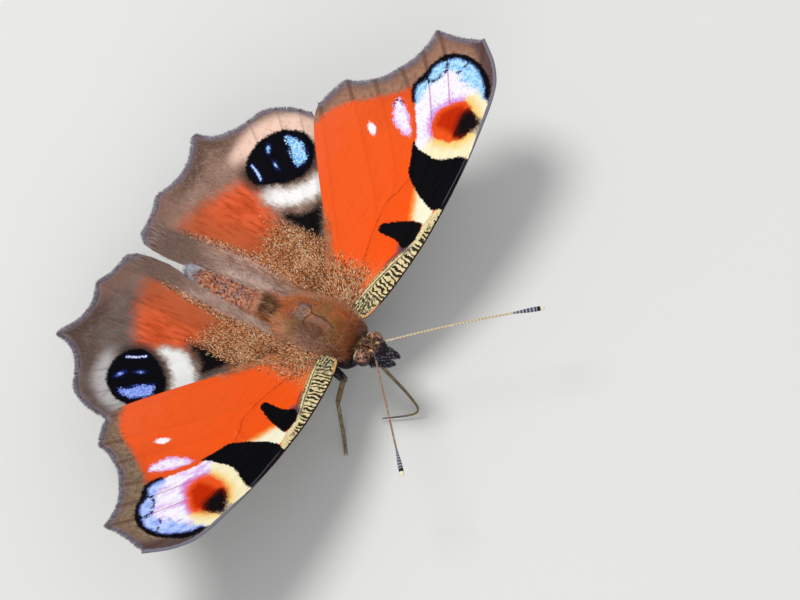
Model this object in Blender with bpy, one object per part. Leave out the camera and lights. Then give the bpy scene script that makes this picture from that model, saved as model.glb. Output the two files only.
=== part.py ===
"""A peacock butterfly basking with its wings open: a still, life-size model.

Sizes are in millimetres and are scaled to metres as each mesh is made.
+X is the animal's left, -Y is where its head points and +Z is up. Heights
are measured from the hinges of the forewings, and one empty lifts the whole
animal so that its feet stand on z = 0.
"""

import math

import bmesh
import bpy
from mathutils import Vector
from mathutils.geometry import delaunay_2d_cdt, intersect_point_line

MM = 0.001
GAP = 0.3                      # left between two nodes that meet

# Stance: how far the forewing hinges are above the floor, and how far the
# middle of the whole animal lies behind them.
HINGE_HEIGHT = 7.6
MIDDLE_Y = 4.17
FLOOR = -HINGE_HEIGHT

# Wings
HINGE_X = 1.5
MEMBRANE = 0.52                # thickness, measured upright
VEIN_HEIGHT = 0.14
VEIN_HALF_WIDTH = 0.3
VEIN_SPACING = 1.5             # between points along a vein
PLAIN_SPACING = 2.4            # between points of the membrane clear of the veins
FOREWING_RISE = 0.259          # height gained for each mm out from the hinge
FOREWING_DROOP = 0.0012
HINDWING_DROP = 0.95           # below the forewing at the hinge
HINDWING_RISE = 0.2035
HINDWING_CURL = 0.0013
HINDWING_LIFT = 0.118          # height gained for each mm towards the tail
HINDWING_SAG = 0.0022
HINDWING_TWIST = 0.0045
HINDWING_ROOT_Y = 5.0

# Body, from the neck to the tail tip: y, half width, top and bottom.
BODY_STATIONS = [
    (-0.7, 1.20, 0.75, -1.75),
    (0.2, 2.00, 1.62, -3.05),
    (1.5, 2.42, 1.98, -3.75),
    (3.2, 2.50, 2.07, -3.95),
    (5.0, 2.20, 1.75, -3.60),
    (6.6, 1.62, 1.20, -2.90),
    (7.6, 1.48, 0.98, -2.68),
    (9.2, 1.75, 0.75, -2.90),
    (11.2, 1.90, 0.52, -3.05),
    (13.2, 1.72, 0.52, -2.75),
    (15.0, 1.22, 0.68, -1.95),
    (16.1, 0.62, 0.72, -0.95),
]
NECK_Y = -0.7
WAIST_Y = 7.0
ABDOMEN_END_Y = 16.1
ABDOMEN_SEGMENTS = 7
SEGMENT_GROOVE = 0.06

# Head
HEAD_CENTRE = Vector((0.0, -2.1, -0.35))
HEAD_RADII = Vector((1.35, 1.15, 1.35))
EYE_RADIUS = 0.82
EYE_PLACE = Vector((1.02, -2.05, -0.02))
EYE_INNER_X = 0.75             # the flat that faces the head
PALP_RADIUS = 0.33
PALP_LENGTH = 1.55
PALP_X = 0.5

# Antennae: how far the tip lies out, forward and up from the root.
ANTENNA_RADIUS = 0.25
CLUB_RADIUS = 0.36
CLUB_LENGTH = 2.7
ANTENNA_REACH = {"left": Vector((9.5, -11.3, 0.3)), "right": Vector((10.7, -9.0, 1.3))}

# Legs, as points out, towards the tail and up. The last two points lie the
# foot along the floor.
FEMUR_RADIUS = 0.42
TIBIA_RADIUS = 0.28
TARSUS_RADIUS = 0.25
FOOT_SINK = 0.1                # cut off the underside to make the foot's flat
TOE_HEIGHT = FLOOR + TARSUS_RADIUS - FOOT_SINK
MIDLEG_JOINTS = {               # the right one steps forward, the left one to the side
    "left": (Vector((2.8, 2.4, -2.6)), Vector((4.6, 2.9, -5.2)),
             Vector((6.2, 3.2, -7.3)), Vector((7.6, 3.5, TOE_HEIGHT))),
    "right": (Vector((2.6, -0.8, -2.2)), Vector((3.5, -0.45, -5.0)),
              Vector((5.3, -1.9, -7.3)), Vector((6.5, -2.75, TOE_HEIGHT))),
}
HINDLEG_JOINTS = (Vector((3.3, 6.2, -2.9)), Vector((5.0, 9.0, -6.0)),
                  Vector((6.2, 11.3, -7.3)), Vector((6.8, 12.6, TOE_HEIGHT)))

# Proboscis, reaching down to feed, with its tip just clear of the floor.
PROBOSCIS_RADIUS = 0.25
PROBOSCIS_TIP_RADIUS = 0.15
PROBOSCIS_ROUTE = [
    Vector((0.0, -3.41, -2.35)),
    Vector((-0.05, -5.31, -4.42)),
    Vector((-0.1, -6.22, -5.65)),
    Vector((-0.18, -6.6, -6.3)),
    Vector((-0.4, -6.5, -6.85)),
    Vector((-0.95, -5.8, -7.05)),
    Vector((-2.1, -4.0, -7.15)),
]

MATERIALS = {
    "forewing scales": ((0.80, 0.13, 0.03), 0.65),
    "hindwing scales": ((0.42, 0.12, 0.05), 0.70),
    "body hair": ((0.25, 0.10, 0.04), 0.90),
    "head hair": ((0.12, 0.07, 0.05), 0.90),
    "eye": ((0.10, 0.04, 0.03), 0.25),
    "feeler": ((0.30, 0.25, 0.19), 0.60),
    "leg": ((0.16, 0.13, 0.07), 0.50),
}


def clear_scene():
    for thing in list(bpy.data.objects):
        bpy.data.objects.remove(thing, do_unlink=True)


def make_material(name):
    colour, roughness = MATERIALS[name]
    material = bpy.data.materials.get(name) or bpy.data.materials.new(name)
    material.use_nodes = True
    shader = material.node_tree.nodes["Principled BSDF"]
    shader.inputs["Base Color"].default_value = (*colour, 1.0)
    shader.inputs["Roughness"].default_value = roughness
    shader.inputs["Metallic"].default_value = 0.0
    return material


def add_object(name, bm, material, animal, stance):
    """Turn a bmesh in millimetres into a node in metres on the stance."""
    bmesh.ops.scale(bm, vec=(MM, MM, MM), verts=bm.verts)
    bmesh.ops.recalc_face_normals(bm, faces=bm.faces)
    mesh = bpy.data.meshes.new(name)
    bm.to_mesh(mesh)
    bm.free()
    mesh.shade_smooth()
    mesh.set_sharp_from_angle(angle=math.radians(40))
    mesh.materials.append(make_material(material))
    node = bpy.data.objects.new(name, mesh)
    node.parent = stance
    animal.objects.link(node)
    return node


def smooth_path(points, steps):
    """A Catmull-Rom curve through the points, with the steps for each gap."""
    path = []
    last = len(points) - 1
    for i in range(last):
        before = points[max(i - 1, 0)]
        start = points[i]
        end = points[i + 1]
        after = points[min(i + 2, last)]
        for step in range(steps):
            t = step / steps
            path.append(0.5 * (2 * start + (end - before) * t
                               + (2 * before - 5 * start + 4 * end - after) * t ** 2
                               + (3 * start - before - 3 * end + after) * t ** 3))
    path.append(points[last].copy())
    return path


def evenly(path, spacing):
    """Points spread evenly along a path, ends kept, about the spacing apart."""
    lengths = [(b - a).length for a, b in zip(path, path[1:])]
    count = max(1, round(sum(lengths) / spacing))
    step = sum(lengths) / count
    spread = [path[0].copy()]
    walked = 0.0
    for (a, b), length in zip(zip(path, path[1:]), lengths):
        while len(spread) < count and len(spread) * step <= walked + length:
            spread.append(a.lerp(b, (len(spread) * step - walked) / length))
        walked += length
    spread.append(path[-1].copy())
    return spread


def body_section(y):
    """Half width, top and bottom of the trunk at a place along it."""
    ys = [station[0] for station in BODY_STATIONS]
    y = min(max(y, ys[0]), ys[-1])
    i = max(k for k in range(len(ys) - 1) if ys[k] <= y)
    span = ys[i + 1] - ys[i]
    t = (y - ys[i]) / span
    values = []
    for column in (1, 2, 3):
        p = [BODY_STATIONS[k][column] for k in range(len(ys))]
        slope_in = (p[i + 1] - p[max(i - 1, 0)]) / (ys[i + 1] - ys[max(i - 1, 0)]) * span
        after = min(i + 2, len(ys) - 1)
        slope_out = (p[after] - p[i]) / (ys[after] - ys[i]) * span
        values.append((2 * t ** 3 - 3 * t ** 2 + 1) * p[i] + (t ** 3 - 2 * t ** 2 + t) * slope_in
                      + (3 * t ** 2 - 2 * t ** 3) * p[i + 1] + (t ** 3 - t ** 2) * slope_out)
    return values


def beside_body(y, z):
    """How far out the trunk's side is at a place and height, or 0 past it."""
    half_width, top, bottom = body_section(y)
    share = (z - (top + bottom) / 2) / ((top - bottom) / 2)
    return half_width * math.sqrt(max(0.0, 1 - share ** 2))


def under_body(x, y):
    """The height of the trunk's underside."""
    half_width, top, bottom = body_section(y)
    return (top + bottom) / 2 - (top - bottom) / 2 * math.sqrt(max(0.0, 1 - (x / half_width) ** 2))


def loft_trunk(places, sides, scale_at, end_point=None):
    """A solid through the trunk's sections, flat at its ends or drawn to a point."""
    bm = bmesh.new()
    rings = []
    for y in places:
        half_width, top, bottom = body_section(y)
        size = scale_at(y)
        centre = (top + bottom) / 2
        tall = (top - bottom) / 2
        ring = []
        for k in range(sides):
            turn = math.tau * k / sides
            ring.append(bm.verts.new((half_width * size * math.sin(turn), y,
                                      centre + tall * size * math.cos(turn))))
        rings.append(ring)
    for near, far in zip(rings, rings[1:]):
        for k in range(sides):
            m = (k + 1) % sides
            bm.faces.new((near[k], near[m], far[m], far[k]))
    bm.faces.new(rings[0])
    if end_point is None:
        bm.faces.new(rings[-1])
    else:
        tip = bm.verts.new(end_point)
        for k in range(sides):
            bm.faces.new((rings[-1][k], rings[-1][(k + 1) % sides], tip))
    return bm


def make_thorax():
    count = 11
    start, end = NECK_Y, WAIST_Y - GAP / 2
    places = [start + (end - start) * k / count for k in range(count + 1)]
    return loft_trunk(places, 20, lambda y: 1.0)


def make_abdomen():
    """The abdomen, drawn in a little between its segments."""
    start, end = WAIST_Y + GAP / 2, ABDOMEN_END_Y
    length = (end - start) / ABDOMEN_SEGMENTS

    def segment_size(y):
        across = 2 * (((y - start) / length) % 1.0) - 1
        return 1 - SEGMENT_GROOVE * across ** 4

    places = []
    for segment in range(ABDOMEN_SEGMENTS):
        places += [start + (segment + share) * length for share in (0.02, 0.2, 0.55, 0.85)]
    places.append(end)
    tip = Vector((0.0, ABDOMEN_END_Y + 0.25, -0.1))
    return loft_trunk(places, 20, segment_size, tip)


def make_ball(centre, radii, segments, rings):
    bm = bmesh.new()
    bmesh.ops.create_uvsphere(bm, u_segments=segments, v_segments=rings, radius=1.0)
    bmesh.ops.scale(bm, vec=radii, verts=bm.verts)
    bmesh.ops.translate(bm, vec=centre, verts=bm.verts)
    return bm


def cut_flat(bm, place, keep_side):
    """Cut a closed shape by a plane, keep the named side and close the cut."""
    parts = list(bm.verts) + list(bm.edges) + list(bm.faces)
    cut = bmesh.ops.bisect_plane(bm, geom=parts, dist=1e-5, plane_co=place,
                                 plane_no=keep_side, clear_inner=True)
    edges = [part for part in cut["geom_cut"] if isinstance(part, bmesh.types.BMEdge)]
    bmesh.ops.holes_fill(bm, edges=edges, sides=0)
    return bm


def subtract(node, cutters, spare):
    """Cut the closed cutters out of a node, and remove them."""
    for cutter in cutters:
        cutter.hide_render = True
        cutter.display_type = "WIRE"
        spare.objects.link(cutter)
    modifier = node.modifiers.new("sockets", "BOOLEAN")
    modifier.operation = "DIFFERENCE"
    modifier.operand_type = "COLLECTION"
    modifier.collection = spare
    depsgraph = bpy.context.evaluated_depsgraph_get()
    carved = bpy.data.meshes.new_from_object(node.evaluated_get(depsgraph))
    node.modifiers.clear()
    node.data = carved
    for cutter in cutters:
        bpy.data.objects.remove(cutter, do_unlink=True)


def make_head():
    bm = make_ball(HEAD_CENTRE, HEAD_RADII, 24, 16)
    return cut_flat(bm, (0, NECK_Y - GAP, 0), (0, -1, 0))


def make_eye(side, clearance):
    """An eye, flat where it faces the head, or the larger shape that clears it."""
    reach = EYE_RADIUS + clearance
    bm = make_ball(mirrored(EYE_PLACE, side), Vector((reach, reach, reach)), 20, 14)
    return cut_flat(bm, (side * (EYE_INNER_X - clearance), 0, 0), (side, 0, 0))


def socket_cutter(side, stance):
    bm = make_eye(side, GAP)
    bmesh.ops.scale(bm, vec=(MM, MM, MM), verts=bm.verts)
    bmesh.ops.recalc_face_normals(bm, faces=bm.faces)
    mesh = bpy.data.meshes.new("socket")
    bm.to_mesh(mesh)
    bm.free()
    cutter = bpy.data.objects.new("socket", mesh)
    cutter.parent = stance
    return cutter


def on_head(direction):
    """The point of the head's surface in a direction, and the way out there."""
    along = direction.normalized()
    point = HEAD_CENTRE + Vector([r * d for r, d in zip(HEAD_RADII, along)])
    out = Vector([d / r for r, d in zip(HEAD_RADII, along)]).normalized()
    return point, out


def make_tube(route, radii, sides_level=2):
    """A closed tube along a route, with its own radius at each point."""
    curve = bpy.data.curves.new("route", "CURVE")
    curve.dimensions = "3D"
    curve.bevel_depth = 1.0
    curve.bevel_resolution = sides_level
    curve.use_fill_caps = True
    spline = curve.splines.new("POLY")
    spline.points.add(len(route) - 1)
    for point, place, radius in zip(spline.points, route, radii):
        point.co = (*place, 1.0)
        point.radius = radius
    guide = bpy.data.objects.new("route", curve)
    bpy.context.scene.collection.objects.link(guide)
    depsgraph = bpy.context.evaluated_depsgraph_get()
    mesh = bpy.data.meshes.new_from_object(guide.evaluated_get(depsgraph))
    bpy.data.objects.remove(guide, do_unlink=True)
    bm = bmesh.new()
    bm.from_mesh(mesh)
    bpy.data.meshes.remove(mesh)
    bmesh.ops.remove_doubles(bm, verts=bm.verts, dist=1e-4)
    return bm


def mirrored(point, side):
    return Vector((side * point.x, point.y, point.z))


def make_antenna(side, reach):
    """A straight feeler with a slight bow, and a club at its end."""
    root, out = on_head(Vector((0.33 * side, -0.6, 0.73)))
    start = root + out * GAP
    tip = start + mirrored(reach, side)
    bow = Vector((0.0, 0.0, 0.35))
    count = 12
    length = reach.length
    route = []
    radii = []
    for k in range(count + 1):
        t = k / count
        if t > 0.7:
            t = 0.7 + 0.3 * (k / count - 0.7) / 0.3
        route.append(start.lerp(tip, t) + bow * 4 * t * (1 - t))
        from_tip = (1 - t) * length
        swell = max(0.0, 1 - abs(from_tip - 0.35 * CLUB_LENGTH) / (0.65 * CLUB_LENGTH))
        radii.append(ANTENNA_RADIUS + (CLUB_RADIUS - ANTENNA_RADIUS) * math.sin(swell * math.pi / 2))
    radii[-1] = 0.18
    return make_tube(route, radii)


def make_palp(side):
    """A palp that reaches forward beside its twin and tapers to its tip."""
    share = 1 - (PALP_X / HEAD_RADII.x) ** 2
    face_y = HEAD_CENTRE.y - HEAD_RADII.y * math.sqrt(share)
    start = Vector((side * PALP_X, face_y - GAP, HEAD_CENTRE.z + 0.1))
    route = []
    radii = []
    count = 7
    for k in range(count + 1):
        t = k / count
        route.append(start + Vector((-side * 0.06 * t, -PALP_LENGTH * t, 0.25 * t * t)))
        radii.append(PALP_RADIUS * (1 - 0.75 * t ** 2.5))
    return make_tube(route, radii)


def make_proboscis():
    under = HEAD_CENTRE + Vector((0.0, -0.6, 0.0))
    share = 1 - (0.6 / HEAD_RADII.y) ** 2
    under.z -= HEAD_RADII.z * math.sqrt(share) + GAP
    route = smooth_path([under] + PROBOSCIS_ROUTE, 4)
    last = len(route) - 1
    radii = [PROBOSCIS_RADIUS + (PROBOSCIS_TIP_RADIUS - PROBOSCIS_RADIUS) * k / last
             for k in range(last + 1)]
    return make_tube(route, radii)


def leg_root(side, x, y):
    """Where a leg starts, just under the thorax."""
    return Vector((side * x, y, under_body(x, y) - GAP))


def make_leg(side, root_x, root_y, joints):
    """A walking leg: femur, tibia and a tarsus laid on the floor."""
    root = leg_root(side, root_x, root_y)
    knee, ankle, heel, toe = [mirrored(joint, side) for joint in joints]
    bend = 0.18
    route = [root,
             root.lerp(knee, 0.5) + Vector((0, 0, -0.15)),
             knee.lerp(root, bend),
             knee.lerp(ankle, bend * 0.6),
             knee.lerp(ankle, 0.55),
             ankle.lerp(knee, bend * 0.5),
             ankle.lerp(heel, bend * 0.6),
             heel.lerp(ankle, bend),
             heel.lerp(toe, bend),
             toe]
    radii = [FEMUR_RADIUS * 0.8, FEMUR_RADIUS, FEMUR_RADIUS * 0.85, TIBIA_RADIUS * 1.1,
             TIBIA_RADIUS, TIBIA_RADIUS, TARSUS_RADIUS, TARSUS_RADIUS, TARSUS_RADIUS,
             TARSUS_RADIUS]
    steps = 2
    thick = []
    for k in range(len(radii) - 1):
        thick += [radii[k] + (radii[k + 1] - radii[k]) * s / steps for s in range(steps)]
    thick.append(radii[-1])
    bm = make_tube(smooth_path(route, steps), thick)
    return cut_flat(bm, (0, 0, FLOOR), (0, 0, 1))


def make_foreleg(side):
    """A short brush leg, folded forward under the neck."""
    root = leg_root(side, 0.85, 0.7)
    route = [root, root + Vector((side * 0.05, -0.8, -0.02)),
             root + Vector((0.0, -1.6, 0.35)), root + Vector((-side * 0.1, -2.2, 1.0))]
    radii = [0.3, 0.36, 0.34, 0.3, 0.25, 0.2, 0.14]
    return make_tube(smooth_path(route, 2), radii)


def forewing_height(x, y):
    out = x - HINGE_X
    return FOREWING_RISE * out - FOREWING_DROOP * out ** 2


def hindwing_height(x, y):
    out = x - HINGE_X
    back = y - HINDWING_ROOT_Y
    return (-HINDWING_DROP + HINDWING_RISE * out + HINDWING_CURL * out ** 2
            + HINDWING_LIFT * back - HINDWING_SAG * back ** 2 - HINDWING_TWIST * out * back)


def scallops(teeth, bays, spacing):
    """An outer margin from tooth to tooth, hollowed by a bay in each stretch."""
    path = []
    for start, end, depth in zip(teeth, teeth[1:], bays):
        across = end - start
        inward = Vector((-across.y, across.x)).normalized()
        steps = max(2, round(across.length / spacing))
        for k in range(steps):
            t = k / steps
            path.append(start + across * t + inward * depth * 4 * t * (1 - t))
    path.append(teeth[-1])
    return path


def points_2d(pairs):
    return [Vector(pair) for pair in pairs]


def forewing_outline():
    costa = points_2d([(2.75, -0.45), (5.4, -1.25), (10.0, -1.85), (15.0, -2.0), (20.0, -1.75),
                       (24.0, -1.25), (27.0, -0.4), (28.6, 0.7), (30.05, 2.4)])
    teeth = points_2d([(30.05, 2.4), (29.25, 6.9), (24.35, 8.4), (22.65, 10.05), (21.75, 12.15),
                       (18.6, 13.3)])
    bays = [0.28, 0.5, 0.2, 0.2, -0.1]
    inner = points_2d([(18.6, 13.3), (16.6, 12.65), (12.3, 9.75), (8.2, 6.75), (5.4, 4.95),
                       (3.6, 4.3)])
    root = [Vector((beside_body(y, forewing_height(HINGE_X, y)) + GAP + 0.05, y))
            for y in (4.0, 2.8, 1.6, 0.6)]
    return (evenly(smooth_path(costa, 4), 1.3)[:-1] + scallops(teeth, bays, 0.75)[:-1]
            + evenly(smooth_path(inner, 4), 1.5)[:-1] + root)


def hindwing_outline():
    """From the root along the front edge, round the margin and back beside the body."""
    front = points_2d([(3.1, 4.35), (6.0, 4.6), (10.0, 6.3), (14.0, 9.3), (17.0, 12.3),
                       (18.15, 14.0)])
    teeth = points_2d([(18.15, 14.0), (17.75, 16.1), (16.3, 18.4), (13.1, 20.1), (12.2, 22.5),
                       (11.4, 22.75), (5.5, 22.7), (4.9, 22.7), (1.1, 22.05), (0.5, 21.3)])
    bays = [-0.1, -0.15, 0.2, 0.3, -0.05, 0.95, 0.0, 0.25, -0.05]
    behind = points_2d([(0.5, 21.3), (0.33, 19.9), (0.36, 18.4), (0.75, 17.2)])
    beside = []
    for y in (15.6, 14.0, 12.0, 10.0, 8.0, 6.6, 5.4, 4.6):
        low = hindwing_height(2.2, y) - MEMBRANE / 2
        beside.append(Vector((beside_body(y, low) + GAP + 0.12, y)))
    return (evenly(smooth_path(front, 4), 1.5)[:-1] + scallops(teeth, bays, 0.75)[:-1]
            + evenly(smooth_path(behind, 4), 1.2) + beside)


# Main veins, each through points out and towards the tail.
FOREWING_VEINS = [
    [(3.1, 0.3), (8.0, -0.85), (13.0, -1.45), (16.2, -1.7)],
    [(3.1, 0.9), (9.0, 0.0), (15.0, 0.1), (21.0, 0.2), (26.0, 0.9), (29.6, 2.3)],
    [(12.0, 0.0), (17.0, -0.6), (21.5, -1.15)],
    [(15.0, 0.3), (18.0, 1.3), (23.0, 3.3), (29.1, 6.7)],
    [(14.9, 1.6), (19.0, 3.2), (27.0, 7.4)],
    [(14.4, 3.0), (19.0, 5.0), (24.2, 8.3)],
    [(3.2, 1.7), (8.0, 2.6), (12.5, 3.9), (17.0, 6.3), (22.6, 9.9)],
    [(9.0, 2.9), (14.0, 6.2), (21.4, 11.9)],
    [(15.0, 0.3), (14.9, 1.6), (14.4, 3.0), (13.2, 4.25)],
    [(3.2, 2.8), (6.5, 4.5), (11.0, 7.8), (18.3, 12.9)],
]
HINDWING_VEINS = [
    [(3.4, 5.6), (7.0, 6.9), (12.0, 10.0), (17.7, 14.9)],
    [(7.0, 6.9), (11.0, 11.0), (17.2, 17.0)],
    [(8.3, 10.3), (10.6, 13.2), (15.0, 18.7)],
    [(3.3, 6.2), (5.6, 9.2), (8.0, 13.0), (10.3, 18.0), (11.9, 22.3)],
    [(6.6, 10.8), (7.9, 15.5), (8.4, 21.2)],
    [(4.9, 8.2), (5.3, 13.0), (5.3, 22.3)],
    [(3.1, 7.2), (3.2, 13.0), (2.6, 18.0), (2.8, 21.9)],
    [(8.3, 10.3), (8.0, 11.5), (7.6, 12.3)],
]


def path_distance(point, path):
    """How far a point in the plane is from a path."""
    best = math.inf
    for a, b in zip(path, path[1:]):
        foot, share = intersect_point_line(point, a, b)
        foot = a.lerp(b, min(max(share, 0.0), 1.0))
        best = min(best, (point.to_2d() - foot.to_2d()).length)
    return best


def inside(point, loop):
    """True where a point lies within a closed loop."""
    crossings = 0
    for a, b in zip(loop, loop[1:] + loop[:1]):
        if (a.y > point.y) != (b.y > point.y):
            if point.x < a.x + (point.y - a.y) * (b.x - a.x) / (b.y - a.y):
                crossings += 1
    return crossings % 2 == 1


def plan_wing(outline, vein_points):
    """A wing seen flat: its triangulated points, each with its share of a ridge."""
    closed = outline + outline[:1]
    veins = [smooth_path(points_2d(vein), 6) for vein in vein_points]
    points = list(outline)
    edges = [(k, (k + 1) % len(outline)) for k in range(len(outline))]

    def add(point, clearance, from_edge):
        if min((point - other).length for other in points) < clearance:
            return None
        if not inside(point, outline) or path_distance(point, closed) < from_edge:
            return None
        points.append(point)
        return len(points) - 1

    for vein in veins:
        crest = [add(point, 0.5, 0.45) for point in evenly(vein, VEIN_SPACING)]
        edges += [(a, b) for a, b in zip(crest, crest[1:]) if a is not None and b is not None]
    for vein in veins:
        spread = evenly(vein, VEIN_SPACING)
        for before, here, after in zip(spread, spread[1:], spread[2:]):
            ahead = (after - before).normalized()
            across = Vector((-ahead.y, ahead.x)) * VEIN_HALF_WIDTH
            for flank in (here + across, here - across):
                if min(path_distance(flank, other) for other in veins) > 0.8 * VEIN_HALF_WIDTH:
                    add(flank, 0.2, 0.3)
    low = Vector((min(p.x for p in outline), min(p.y for p in outline)))
    high = Vector((max(p.x for p in outline), max(p.y for p in outline)))
    for i in range(int((high.x - low.x) / PLAIN_SPACING) + 1):
        for j in range(int((high.y - low.y) / PLAIN_SPACING) + 1):
            step = Vector((i + 0.5, j + 0.5 * (i % 2)))
            add(low + step * PLAIN_SPACING, 1.1, 0.9)

    flat, _, faces, *_ = delaunay_2d_cdt(points, edges, [], 1, 1e-4)
    ridges = []
    for point in flat:
        off_vein = min(path_distance(point, vein) for vein in veins)
        edge_fade = min(1.0, path_distance(point, closed) / 0.8)
        ridges.append(edge_fade * max(0.0, 1 - off_vein / VEIN_HALF_WIDTH))
    return flat, faces, ridges


def make_wing(plan, height, side):
    """A thin curved membrane, its veins raised as ridges in its upper face."""
    flat, faces, ridges = plan
    bm = bmesh.new()
    upper = []
    lower = []
    for point, ridge in zip(flat, ridges):
        middle = height(point.x, point.y)
        top = middle + MEMBRANE / 2 + VEIN_HEIGHT * ridge
        upper.append(bm.verts.new((side * point.x, point.y, top)))
        lower.append(bm.verts.new((side * point.x, point.y, middle - MEMBRANE / 2)))
    rim = set()
    for face in faces:
        bm.faces.new([upper[k] for k in face])
        bm.faces.new([lower[k] for k in reversed(face)])
        for a, b in zip(face, face[1:] + face[:1]):
            if (b, a) in rim:
                rim.remove((b, a))
            else:
                rim.add((a, b))
    for a, b in sorted(rim):
        bm.faces.new((upper[b], upper[a], lower[a], lower[b]))
    return bm


def build():
    clear_scene()
    animal = bpy.data.collections.new("peacock_butterfly")
    spare = bpy.data.collections.new("cutters")
    for collection in (animal, spare):
        bpy.context.scene.collection.children.link(collection)
    stance = bpy.data.objects.new("stance", None)
    stance.location = (0.0, -MIDDLE_Y * MM, HINGE_HEIGHT * MM)
    animal.objects.link(stance)

    def add(name, bm, material):
        return add_object(name, bm, material, animal, stance)

    add("thorax", make_thorax(), "body hair")
    add("abdomen", make_abdomen(), "body hair")
    head = add("head", make_head(), "head hair")
    subtract(head, [socket_cutter(side, stance) for side in (1, -1)], spare)
    add("proboscis", make_proboscis(), "leg")
    forewing = plan_wing(forewing_outline(), FOREWING_VEINS)
    hindwing = plan_wing(hindwing_outline(), HINDWING_VEINS)
    for name, side in (("left", 1), ("right", -1)):
        add("eye_" + name, make_eye(side, 0.0), "eye")
        add("antenna_" + name, make_antenna(side, ANTENNA_REACH[name]), "feeler")
        add("palp_" + name, make_palp(side), "head hair")
        add("forewing_" + name, make_wing(forewing, forewing_height, side), "forewing scales")
        add("hindwing_" + name, make_wing(hindwing, hindwing_height, side), "hindwing scales")
        add("foreleg_" + name, make_foreleg(side), "leg")
        add("midleg_" + name, make_leg(side, 1.15, 1.6, MIDLEG_JOINTS[name]), "leg")
        add("hindleg_" + name, make_leg(side, 1.1, 4.6, HINDLEG_JOINTS), "leg")


build()
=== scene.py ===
"""The peacock butterfly's looks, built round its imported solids.

Shapes are worked out in millimetres from the hinges of the forewings, with +X the animal's
left, -Y the way its head points and +Z up. placed() turns them into the frame's metres. A wing
is planned flat as the left one, and the right one mirrors it.
"""

import math

import bmesh
import bpy
import numpy as np
from mathutils import Matrix, Vector
from mathutils.geometry import delaunay_2d_cdt


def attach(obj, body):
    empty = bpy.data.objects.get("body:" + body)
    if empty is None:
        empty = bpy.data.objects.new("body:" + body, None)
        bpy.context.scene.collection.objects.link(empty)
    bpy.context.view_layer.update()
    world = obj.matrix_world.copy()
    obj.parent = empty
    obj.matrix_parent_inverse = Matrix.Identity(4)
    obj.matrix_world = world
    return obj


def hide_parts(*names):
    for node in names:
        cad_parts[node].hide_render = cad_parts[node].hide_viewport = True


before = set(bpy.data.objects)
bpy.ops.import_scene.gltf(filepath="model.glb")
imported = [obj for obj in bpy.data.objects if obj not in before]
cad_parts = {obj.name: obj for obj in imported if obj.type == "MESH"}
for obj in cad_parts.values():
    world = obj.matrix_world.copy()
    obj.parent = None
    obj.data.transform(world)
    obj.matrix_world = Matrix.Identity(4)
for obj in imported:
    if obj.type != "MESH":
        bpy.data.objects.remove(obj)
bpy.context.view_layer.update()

MM = 0.001
HINGE_HEIGHT = 7.6               # of the forewing hinges above the floor
MIDDLE_Y = 4.17                  # from the hinges back to the middle of the animal
SIDES = (("left", 1), ("right", -1))


def placed(points):
    """Points in millimetres from the hinges, as metres in the frame."""
    return (np.asarray(points, float) + (0.0, -MIDDLE_Y, HINGE_HEIGHT)) * MM


# Curves and distances


def spline(points, steps, closed=False):
    """A Catmull-Rom curve through points."""
    p = np.asarray(points, float)
    p = np.vstack([p[-1:], p, p[:2]]) if closed else np.vstack([p[:1], p, p[-1:]])
    t = (np.arange(steps) / steps)[:, None]
    path = []
    for a, b, c, d in zip(p, p[1:], p[2:], p[3:]):
        path.append(0.5 * (2 * b + (c - a) * t + (2 * a - 5 * b + 4 * c - d) * t ** 2
                           + (3 * b - a - 3 * c + d) * t ** 3))
    if not closed:
        path.append(p[-1:])
    return np.vstack(path)


def evenly(path, spacing):
    """Points spread evenly along a path, ends kept."""
    walked = np.concatenate([[0.0], np.cumsum(np.linalg.norm(np.diff(path, axis=0), axis=1))])
    count = max(1, round(walked[-1] / spacing))
    spots = np.linspace(0.0, walked[-1], count + 1)
    return np.stack([np.interp(spots, walked, column) for column in path.T], axis=1)


def nearest(points, path):
    """For each point, how far it is from a path and how far along the path that is."""
    gap = np.full(len(points), np.inf)
    along = np.zeros(len(points))
    walked = 0.0
    for a, b in zip(path, path[1:]):
        step = b - a
        length = np.linalg.norm(step)
        if length == 0.0:
            continue
        share = np.clip((points - a) @ step / length ** 2, 0.0, 1.0)
        away = np.linalg.norm(points - a - share[:, None] * step, axis=1)
        closer = away < gap
        gap[closer] = away[closer]
        along[closer] = walked + share[closer] * length
        walked += length
    return gap, along


def within(points, loop):
    """Which points lie inside a closed loop."""
    odd = np.zeros(len(points), bool)
    for a, b in zip(loop, np.roll(loop, -1, axis=0)):
        if a[1] == b[1]:
            continue
        crosses = (a[1] > points[:, 1]) != (b[1] > points[:, 1])
        x = a[0] + (points[:, 1] - a[1]) * (b[0] - a[0]) / (b[1] - a[1])
        odd ^= crosses & (points[:, 0] < x)
    return odd


def depth(points, loop):
    """How deep each point lies inside a closed loop, below 0 outside it."""
    gap, _ = nearest(points, np.vstack([loop, loop[:1]]))
    return np.where(within(points, loop), gap, -gap)


def patch(points, corners):
    """Depth inside a smooth loop through a few corners."""
    return depth(points, spline(corners, 6, closed=True))


def oval(points, centre, radii, turn=0.0):
    """About how deep each point lies inside an oval turned by some degrees."""
    angle = math.radians(turn)
    off = points - centre
    u = (off[:, 0] * math.cos(angle) + off[:, 1] * math.sin(angle)) / radii[0]
    v = (off[:, 1] * math.cos(angle) - off[:, 0] * math.sin(angle)) / radii[1]
    return (1 - np.hypot(u, v)) * min(radii)


def smooth(values, low, high):
    """0 up to low, 1 from high on, and smooth between."""
    t = np.clip((values - low) / (high - low), 0.0, 1.0)
    return t * t * (3 - 2 * t)


# Meshes


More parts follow.
